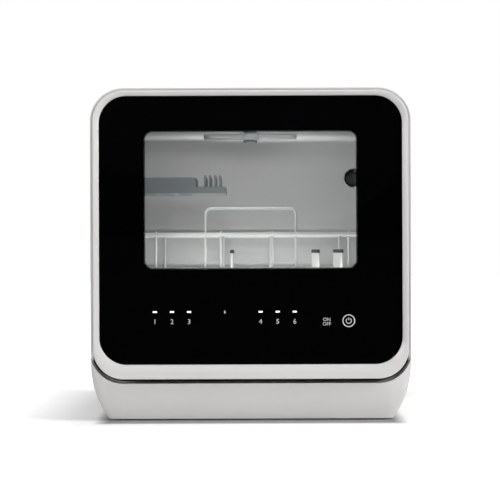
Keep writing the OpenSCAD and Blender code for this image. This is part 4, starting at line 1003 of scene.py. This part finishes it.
@dataclass
class Basket:
    """The nylon-coated wire basket with its tines and glides."""

    rail: float = 2.5 * MM
    wire: float = 1.7 * MM
    corner: float = 22 * MM
    stub: float = 5 * MM
    loop_half: float = 61 * MM
    loop_radius: float = 9 * MM
    rail_heights: tuple[float, float, float] = (137 * MM, 199 * MM, 247 * MM)
    front_uprights: tuple[float, ...] = (-0.1277, -0.0403, 0.0296, 0.1320)
    side_uprights: tuple[float, ...] = (-0.090, -0.030, 0.030, 0.090)
    tine_columns: tuple[float, ...] = (-0.026, 0.092, 0.124)
    cross_wires: int = 8
    long_wires: int = 9

    def __post_init__(self) -> None:
        """Reads the basket's outline from the frame."""
        self.low, self.high = node_box("basket_rails")
        self.half_x = self.high.x - self.rail
        self.front = self.low.y + self.rail
        self.back = self.high.y - self.rail
        self.top = self.high.z - self.wire

    def ring(self, z: float) -> Piece:
        """One closed rail with rounded corners."""
        corners = [(-self.half_x, self.front, z), (self.half_x, self.front, z), (self.half_x, self.back, z),
                   (-self.half_x, self.back, z)]
        return tube("ring", rounded_path(corners, self.corner, True, 10), self.rail, True, 4)

    def upright(self, x: float, y: float) -> Piece:
        """One upright wire from the floor rail to a little above the top rail."""
        bottom, _, top = self.rail_heights
        return tube("upright", [(x, y, bottom), (x, y, top + self.stub)], self.wire)

    def build_rails(self) -> None:
        """Welds the rails, the uprights and the raised front loop."""
        inner = self.rail + self.wire - 1 * MM
        middle = (self.front + self.back) / 2
        parts = [self.ring(z) for z in self.rail_heights]
        for x in self.front_uprights:
            parts += [self.upright(x, y) for y in (self.front + inner, self.back - inner)]
        for offset in self.side_uprights:
            parts += [self.upright(x, middle + offset) for x in (self.half_x - inner, inner - self.half_x)]
        y = self.front + self.rail + self.wire - 0.3 * MM
        foot, top, half = self.rail_heights[0], self.top, self.loop_half
        corners = [(-half, y, foot), (-half, y, top), (half, y, top), (half, y, foot)]
        parts.append(tube("loop", rounded_path(corners, self.loop_radius, False, 10), self.wire, False, 4))
        install(join("basket_frame", parts), "basket", NYLON_COAT, ["basket_rails"])

    def build_floor(self) -> None:
        """Lays the floor's long wires and the cross wires on them."""
        low, high = node_box("basket_floor")
        under, over = low.z + self.wire, high.z - self.wire
        half = self.half_x - self.corner
        places = [-half + i * 2 * half / (self.long_wires - 1) for i in range(self.long_wires)]
        parts = [tube("long", [(x, low.y, under), (x, high.y, under)], self.wire) for x in places]
        for y in self.cross_places():
            parts.append(tube("cross", [(low.x, y, over), (high.x, y, over)], self.wire))
        install(join("basket_grid", parts), "basket", NYLON_COAT, ["basket_floor"])

    def cross_places(self) -> list[float]:
        """Where the cross wires and the tines stand along Y."""
        first = self.front + self.corner
        step = (self.back - self.front - 2 * self.corner) / (self.cross_wires - 1)
        return [first + i * step for i in range(self.cross_wires)]

    def build_tines(self) -> None:
        """Stands the plate tines on the cross wires and dips their tips."""
        low, high = node_box("plate_tines")
        tip_low, tip_high = node_box("tine_tips")
        tines, tips = [], []
        for x in self.tine_columns:
            for y in self.cross_places():
                tines.append(tube("tine", [(x, y, low.z), (x, y, high.z)], self.wire - 0.2 * MM))
                cap = rod("tip", (x, y, tip_low.z), (x, y, tip_high.z), self.wire + 0.3 * MM, 16)
                round_edges(cap, 1.6 * MM, 3, lambda a, b: min(a.z, b.z) > tip_high.z - 1e-5)
                tips.append(cap)
        install(join("rack_tines", tines), "basket", NYLON_COAT, ["plate_tines"])
        install(join("dipped_tips", tips), "basket", VINYL_DIP, ["tine_tips"])

    def build(self) -> None:
        """Builds the whole basket."""
        self.build_rails()
        self.build_floor()
        self.build_tines()
        refine("basket_glides", "glide_clips", "basket", LIGHT_PP, 0.8)


# ---- door ----------------------------------------------------------------------------------------


@dataclass
class Door:
    """The drop-down door: rim, panes, print, liner, detergent cup and hinges."""

    corner: float = 40 * MM
    glass_corner: float = 36 * MM
    fit: float = 0.3 * MM
    ledge: float = 7 * MM
    front_round: float = 1.5 * MM
    window: tuple[float, float] = (281 * MM, 182.6 * MM)
    window_middle: float = 291.9 * MM
    fade: float = 3 * MM
    notch: float = 16 * MM
    notch_ahead: float = 4.9 * MM
    notch_above: float = 7.5 * MM
    pin_grip: float = 5 * MM
    recess_half: float = 55 * MM
    recess_from: float = 12 * MM
    recess_wide: float = 17 * MM
    recess_deep: float = 18 * MM
    dish_from: float = 3.3 * MM
    # The dish, in mm: a step forwards, then growth at the sides, the top and the bottom.
    dish_steps: tuple[tuple[float, float, float, float], ...] = (
        (0.9, 1.2, 1.0, 1.2), (1.1, 1.7, 1.4, 2.6), (0.9, 1.8, 1.5, 3.6), (0.45, 1.5, 1.4, 3.6),
        (4.0, 0.0, 0.0, 0.0))

    def __post_init__(self) -> None:
        """Reads the door's places from the frame."""
        self.low, self.high = node_box("door_frame")
        self.glass_low, self.glass_high = node_box("door_glass")
        self.liner_low = node_box("door_liner")[0]
        self.print_low, self.print_high = node_box("glass_print")
        self.middle = (self.low.z + self.high.z) / 2
        self.glass_middle = (self.glass_low.z + self.glass_high.z) / 2
        self.glass_wide = self.glass_high.x - self.glass_low.x
        self.glass_tall = self.glass_high.z - self.glass_low.z
        self.pin_low, self.pin_high = node_box("hinge_pins")

    def glass_form(self, name: str, grow: float, y0: float, y1: float) -> Piece:
        """A slab with the outline of the glass, grown all round, from y0 back to y1."""
        return slab_xz(name, self.glass_wide + 2 * grow, self.glass_tall + 2 * grow, self.glass_corner + grow,
                       y0, y1, self.glass_middle, arc=20)

    def build_rim(self) -> None:
        """Moulds the rim: a rounded ring with a soft front, a seat for the glass and a finger recess."""
        width, height = self.high.x - self.low.x, self.high.z - self.low.z
        rim = slab_xz("door_rim", width, height, self.corner, self.low.y, self.high.y, self.middle, arc=20)
        round_edges(rim, self.front_round, 7, lambda a, b: max(a.y, b.y) < self.low.y + 1e-5)
        carve(rim, self.glass_form("through", -self.ledge, self.low.y - PAST, self.high.y + PAST))
        carve(rim, self.glass_form("seat", self.fit, self.low.y - PAST, self.print_high.y))
        self.dish(rim)
        self.cut_recess(rim)
        self.cut_hinge_side(rim)
        install(rim, "door", SATIN_ABS, ["door_frame"])

    def dish(self, rim: Piece) -> None:
        """Slopes the rim's front towards the glass, gently at first and steeper at the lip."""
        middle = self.glass_middle
        width, height = self.glass_wide + 2 * self.fit, self.glass_tall + 2 * self.fit
        depth = self.low.y + self.dish_from
        tool = sheet_xz("dish", width, height, self.glass_corner + self.fit, depth, middle, arc=20)
        with picked(tool, Pick.FACES):
            for step in self.dish_steps:
                forwards, side, top, bottom = (size * MM for size in step)
                extrude((0, -forwards, 0))
                bpy.ops.transform.resize(value=(1 + 2 * side / width, 1, 1 + (top + bottom) / height),
                                         center_override=(0, self.low.y, middle))
                bpy.ops.transform.translate(value=(0, 0, (top - bottom) / 2))
                width += 2 * side
                height += top + bottom
                middle += (top - bottom) / 2
        carve(rim, outward(tool))

    def cut_recess(self, rim: Piece) -> None:
        """Cuts the finger recess into the top edge and rounds its mouth."""
        y0 = self.low.y + self.recess_from
        y1 = y0 + self.recess_wide
        recess = block("recess", (-self.recess_half, y0, self.high.z - self.recess_deep),
                       (self.recess_half, y1, self.high.z + PAST))
        round_edges(recess, 5 * MM, 5, lambda a, b: abs(a.z - b.z) > 5 * MM)
        carve(rim, recess)

        def at_mouth(a: Vector, b: Vector) -> bool:
            """True for an edge of the recess in the door's top face."""
            return (min(a.z, b.z) > self.high.z - 1e-5 and max(abs(a.x), abs(b.x)) < self.recess_half + 1 * MM
                    and min(a.y, b.y) > y0 - 1 * MM and max(a.y, b.y) < y1 + 1 * MM)

        round_edges(rim, 1 * MM, 3, at_mouth)

    def cut_hinge_side(self, rim: Piece) -> None:
        """Cuts the hinge notches and takes the lower back edge away."""
        hinge = (self.pin_low + self.pin_high) / 2
        inner = self.pin_high.x - self.pin_grip - self.notch
        for side in (-1, 1):
            near, far = sorted((side * inner, side * (inner + self.notch)))
            carve(rim, block("notch", (near, hinge.y - self.notch_ahead, self.low.z - PAST),
                             (far, self.high.y + PAST, hinge.z + self.notch_above)))
        top = Vector((0, self.high.y, hinge.z))
        foot = Vector((0, self.liner_low.y + 0.5 * MM, self.low.z))
        along = (foot - top).normalized()
        # Square to the slope, and towards the back.
        normal = Vector((0, -along.z, along.y)) * math.copysign(1.0, -along.z)
        with picked(rim, Pick.FACES):
            bpy.ops.mesh.bisect(plane_co=top, plane_no=normal, use_fill=True, clear_outer=True)

    def build_glass(self) -> None:
        """Cuts and seams the outer pane and the inner pane, and prints the window's faded edge."""
        pane = self.glass_form("outer_pane", 0.0, self.glass_low.y, self.glass_high.y)
        soften(pane, 0.6 * MM, 2, 60)
        install(pane, "door", FLOAT_GLASS, ["door_glass"])
        refine("inner_pane", "inner_glass", "door", FLOAT_GLASS, 0.5)
        depth = (self.print_low.y + self.print_high.y) / 2
        ring = sheet_xz("print_fade", *self.window, DOT_SCREEN.corner, depth, self.window_middle)
        with picked(ring, Pick.FACES):
            bpy.ops.mesh.inset(thickness=self.fade, depth=0)
            bpy.ops.mesh.delete(type="FACE")
        apply(ring, "SOLIDIFY", thickness=0.1 * MM)
        install(ring, "door", DOT_SCREEN)

    def build_inside(self) -> None:
        """Rounds the liner, the cup and what shows inside the door."""
        for row in (("door_liner", "liner_sheet", "door", SATIN_STEEL, 0.3, 1),
                    ("window_spacer", "window_frame", "door", BLACK_ABS, 0.4),
                    ("detergent_cup", "detergent_tray", "door", GREY_PP, 0.4),
                    ("detergent_lid", "detergent_slide", "detergent_flap", LIGHT_PP, 0.3),
                    ("door_striker", "striker_hook", "door", ZINC_PLATE, 0.3),
                    ("door_screws", "liner_screws", "door", ZINC_PLATE, 0.3),
                    ("hinge_brackets", "hinge_arms", "root", ZINC_PLATE, 0.4)):
            refine(*row)

    def build(self) -> None:
        """Builds the whole door."""
        self.build_rim()
        self.build_glass()
        self.build_inside()


@dataclass
class KeyMarks:
    """White marks fired on the back of the glass: numerals, ON and OFF, a drop and the power sign."""

    depth: float = 0.05 * MM
    cap: float = 6.3 * MM
    word_cap: float = 4.4 * MM
    cap_share: float = 0.7
    columns: tuple[float, ...] = (-0.1259, -0.1035, -0.0811, 0.0127, 0.0351, 0.0575)
    word_x: float = 0.0995
    power_x: float = 0.1283
    drop_x: float = -0.0342
    drop_half: float = 1.5 * MM
    drop_tall: float = 5.2 * MM

    def __post_init__(self) -> None:
        """Reads the lights' places from the frame."""
        low, high = node_box("indicator_lights")
        self.line_z = (low.z + high.z) / 2
        self.y = node_box("glass_print")[0].y - 0.03 * MM
        self.parts: list[Piece] = []

    def write(self, words: str, x: float, z: float, cap: float) -> None:
        """Sets a word with its middle at x and z."""
        clear_bench()
        bpy.ops.object.text_add()
        text = bpy.context.object
        text.data.body = words
        text.data.align_x = "CENTER"
        text.data.align_y = "CENTER"
        text.data.size = cap / self.cap_share
        text.data.extrude = self.depth / 2
        bpy.ops.object.convert(target="MESH")
        mark = bpy.context.object
        mark.rotation_euler = (math.pi / 2, 0, 0)
        mark.location = (x, self.y, z)
        self.parts.append(settle(mark))

    def ring(self, x: float, z: float, radius: float, stroke: float, start: float, end: float) -> None:
        """Draws a flat arc of a given stroke, from one angle to another, in degrees."""
        steps = max(12, int(abs(end - start) / 6))
        upright = (x, self.y, z), (1, 0, 0), (0, 0, 1)
        self.strip(*(arc_points(*upright, radius + part * stroke, start, end, steps) for part in (0.5, -0.5)))

    def strip(self, outer: Sequence[Vector], inner: Sequence[Vector]) -> None:
        """Fills between two lines of points and gives the result its thickness."""
        mesh = bpy.data.meshes.new("mark")
        count = len(outer)
        faces = [(i, i + 1, count + i + 1, count + i) for i in range(count - 1)]
        mesh.from_pydata([*outer, *inner], [], faces)
        mark = outward(add_object("mark", mesh))
        self.parts.append(apply(mark, "SOLIDIFY", thickness=self.depth, offset=0.0))

    def build(self) -> None:
        """Sets all marks."""
        for number, x in enumerate(self.columns, 1):
            self.write(str(number), x, self.line_z - 13 * MM, self.cap)
        for words, below in (("ON", 10.6 * MM), ("OFF", 16.4 * MM)):
            self.write(words, self.word_x, self.line_z - below, self.word_cap)
        x, z = self.power_x, self.line_z - 12.2 * MM
        self.ring(x, z, 7.7 * MM, 1.3 * MM, 0, 360)
        self.ring(x, z, 3.4 * MM, 1.1 * MM, 125, 415)
        self.strip(*([Vector((x + side * 0.55 * MM, self.y, z + rise * MM)) for rise in (0.6, 4.4)]
                     for side in (-1, 1)))
        self.drop(self.drop_x, self.line_z)
        install(join("key_marks", self.parts), "door", WHITE_FRIT)

    def drop(self, x: float, z: float) -> None:
        """Draws a small water drop."""
        lines: tuple[list[Vector], list[Vector]] = ([], [])
        for i in range(17):
            t = i / 16
            reach = self.drop_half * math.sin(math.pi * t) * (0.35 + 0.65 * (1 - t))
            for line, side in zip(lines, (-1, 1)):
                line.append(Vector((x + side * reach, self.y, z + (t - 0.5) * self.drop_tall)))
        self.strip(*lines)


# ---- what is hidden inside -----------------------------------------------------------------------


# CAD nodes that keep their own mesh, because they hardly show or not at all.
DRESSED = {
    "glass_print": BLACK_FRIT, "indicator_lights": KEY_LIGHT, "touch_pads": SILICONE,
    "control_board": SOLDER_MASK, "hinge_pins": ZINC_PLATE, "hinge_springs": ZINC_PLATE,
    "sump_bowl": GREY_PP, "heater_element": SATIN_STEEL, "wash_pump_housing": GREY_PP,
    "wash_pump_motor": BLACK_ABS, "drain_pump": GREY_PP, "drain_pipe": SOFT_RUBBER, "water_tank": WHITE_PP,
    "fill_funnel": GREY_PP, "fan_housing": GREY_PP, "power_board": SOLDER_MASK, "door_switch": BLACK_ABS,
    "door_lock": GREY_PP, "wash_impeller": WHITE_PP, "drain_impeller": WHITE_PP, "fan_rotor": GREY_PP,
    "switch_plunger": WHITE_PP,
}


# ---- studio --------------------------------------------------------------------------------------


@dataclass
class Studio:
    """A pale floor, plain soft lights and the camera at the photograph's angle."""

    distance: float = 2.3
    eye_x: float = -0.0009
    eye_z: float = 0.226
    px_per_m: float = 764.3
    frame_px: float = 500.0
    roll_deg: float = -0.2
    near_glow: float = 0.22
    far_glow: float = 0.8
    floor_size: float = 24.0
    # How far from the middle of the base each begins and is full, the sides counted a little farther. The
    # shade ring and tones paint a contact shade on the floor next to the base, and the low near glow is
    # painted shade round it.
    side_reach: float = 0.03
    shade_ring: tuple[float, float] = (0.218, 0.238)
    near_ring: tuple[float, float] = (0.222, 0.242)
    far_ring: tuple[float, float] = (0.26, 0.48)
    shade_tones: tuple[float, float] = (0.35, 0.9)
    dull_tone: float = 0.85
    room_tone: float = 0.004
    room_reach: tuple[float, float] = (0.1, 0.6)

    def place_camera(self) -> None:
        """Sets the camera level with the middle of the front."""
        data = bpy.data.cameras.new("camera")
        data.sensor_width = 36.0
        data.lens = self.px_per_m * data.sensor_width * self.distance / self.frame_px
        data.clip_end = 60
        camera = add_object("camera", data)
        camera.location = (self.eye_x, CAD_BOX[0].y - self.distance, self.eye_z)
        camera.rotation_euler = (math.pi / 2, math.radians(-self.roll_deg), 0)
        bpy.context.scene.camera = camera

    def add_light(self, name: str, place: Spot, size: Spot, power: float, aim: Spot) -> None:
        """Adds a soft light that faces a point.

        Args:
            name: the light's name.
            place: its centre in metres.
            size: width and height of the glowing face in metres.
            power: in watts.
            aim: the point it faces.
        """
        data = bpy.data.lights.new(name, "AREA")
        data.shape = "RECTANGLE"
        data.size, data.size_y = size
        data.energy = power
        light = add_object(name, data)
        light.visible_camera = light.visible_transmission = False
        light.location = place
        light.rotation_euler = (Vector(aim) - Vector(place)).to_track_quat("-Z", "Y").to_euler()

    def paper(self, tree: Tree, place: Socket) -> Socket:
        """White paper with a painted contact shade: its colour is darker and its glow is off next to the
        base; it glows a little round the base and fully farther out.
        """
        size = add_node(tree, "ShaderNodeVectorMath", {"operation": "ABSOLUTE"}, {0: place})
        sides = add_node(tree, "ShaderNodeSeparateXYZ", links={"Vector": size.outputs["Vector"]})
        wide = sum_up(tree, "ADD", sides.outputs["X"], self.side_reach)
        away = sum_up(tree, "MAXIMUM", wide, sides.outputs["Y"])
        # No glow next to the base and little round it: painted shade that darkens the floor there.
        glow = sum_up(tree, "ADD", ramp(tree, away, *self.near_ring, 0.0, self.near_glow),
                      ramp(tree, away, *self.far_ring, 0.0, self.far_glow))
        lit = add_node(tree, "ShaderNodeEmission", {"Color": WHITE}, {"Strength": glow})
        # Painted contact shade: the paper's colour is darker next to the base.
        shade = ramp(tree, away, *self.shade_ring, *self.shade_tones)
        matt = add_node(tree, "ShaderNodeBsdfDiffuse", links={"Color": shade})
        both = add_node(tree, "ShaderNodeAddShader",
                        links={0: matt.outputs["BSDF"], 1: lit.outputs["Emission"]})
        return both.outputs["Shader"]

    def lay_floor(self) -> None:
        """Lays white paper that keeps the object's shadow and has a painted contact shade round the base,
        with a dark room where the glass looks.
        """
        clear_bench()
        bpy.ops.mesh.primitive_plane_add(size=self.floor_size)
        floor = bpy.context.object
        floor.name = "studio_floor"
        made = bpy.data.materials.new("studio_paper")
        tree = fresh_tree(made)
        place = coordinates(tree)
        path = add_node(tree, "ShaderNodeLightPath")
        seen = path.outputs["Is Camera Ray"]
        dull = add_node(tree, "ShaderNodeBsdfDiffuse", {"Color": (*[self.dull_tone] * 3, 1)})
        paper = blend(tree, seen, dull.outputs["BSDF"], self.paper(tree, place))
        split = add_node(tree, "ShaderNodeSeparateXYZ", links={"Vector": place})
        ahead = ramp(tree, split.outputs["Y"], *(CAD_BOX[0].y - reach for reach in self.room_reach))
        direct = sum_up(tree, "SUBTRACT", sum_up(tree, "SUBTRACT", 1.0, seen), path.outputs["Is Diffuse Ray"])
        room = add_node(tree, "ShaderNodeEmission", {"Color": (*[self.room_tone] * 3, 1), "Strength": 1.0})
        share = sum_up(tree, "MULTIPLY", ahead, direct, clamp=True)
        surface = blend(tree, share, paper, room.outputs["Emission"])
        add_node(tree, "ShaderNodeOutputMaterial", links={"Surface": surface})
        floor.data.materials.append(made)

    def light_world(self) -> None:
        """Makes the surroundings bright above and on the right, dark behind the camera, white to look at."""
        world = bpy.data.worlds.new("surroundings")
        bpy.context.scene.world = world
        tree = fresh_tree(world)
        split = add_node(tree, "ShaderNodeSeparateXYZ", links={"Vector": coordinates(tree, "Generated")})
        above = ramp(tree, split.outputs["Z"], 0.15, 0.9, 0.0, 0.15)
        right = ramp(tree, split.outputs["X"], 0.4, 1.0, 0.0, 0.6)
        strength = sum_up(tree, "ADD", above, right)
        soft = add_node(tree, "ShaderNodeBackground", {"Color": WHITE}, {"Strength": strength})
        white = add_node(tree, "ShaderNodeBackground", {"Color": WHITE, "Strength": 1.0})
        path = add_node(tree, "ShaderNodeLightPath")
        onward = sum_up(tree, "GREATER_THAN", split.outputs["Y"], 0.0)
        through = sum_up(tree, "MULTIPLY", path.outputs["Is Transmission Ray"], onward)
        seen = sum_up(tree, "MAXIMUM", path.outputs["Is Camera Ray"], through)
        surface = blend(tree, seen, soft.outputs["Background"], white.outputs["Background"])
        add_node(tree, "ShaderNodeOutputWorld", links={"Surface": surface})

    def build(self) -> None:
        """Sets up camera, floor, world and lights."""
        self.place_camera()
        self.lay_floor()
        self.light_world()
        front = (0, 0, 0.2)
        # The last three stand inside the tub, above and below the window.
        for row in (("key_right", (2.2, -1.3, 1.6), (0.8, 0.8), 45, front),
                    ("fill_left", (-1.6, -2.2, 0.9), (1.2, 1.0), 28, front),
                    ("top", (0, -0.4, 2.4), (1.6, 1.6), 20, front),
                    ("rear", (0.6, 2.6, 1.3), (1.2, 1.2), 10, front),
                    ("tub_high", (0, -0.165, 0.392), (0.3, 0.03), 0.13, (0, 0.1, 0.12)),
                    ("tub_front", (0, -0.17, 0.155), (0.3, 0.04), 0.36, (0, 0.1, 0.3)),
                    ("tub_low", (0, 0.02, 0.129), (0.26, 0.16), 0.5, (0, 0.03, 0.4))):
            self.add_light(*row)
        bpy.context.scene.view_settings.view_transform = "Standard"


def main() -> None:
    """Builds the dishwasher and the studio in order."""
    logging.basicConfig(level=logging.INFO, format="%(name)s: %(message)s")
    Studio().build()
    for unit in (Cabinet(), Tub(), Basket(), Door(), KeyMarks()):
        unit.build()
        log.info("%s done", type(unit).__name__)
    for node, finish in DRESSED.items():
        dress(node, finish)


if __name__ == "__main__":
    main()
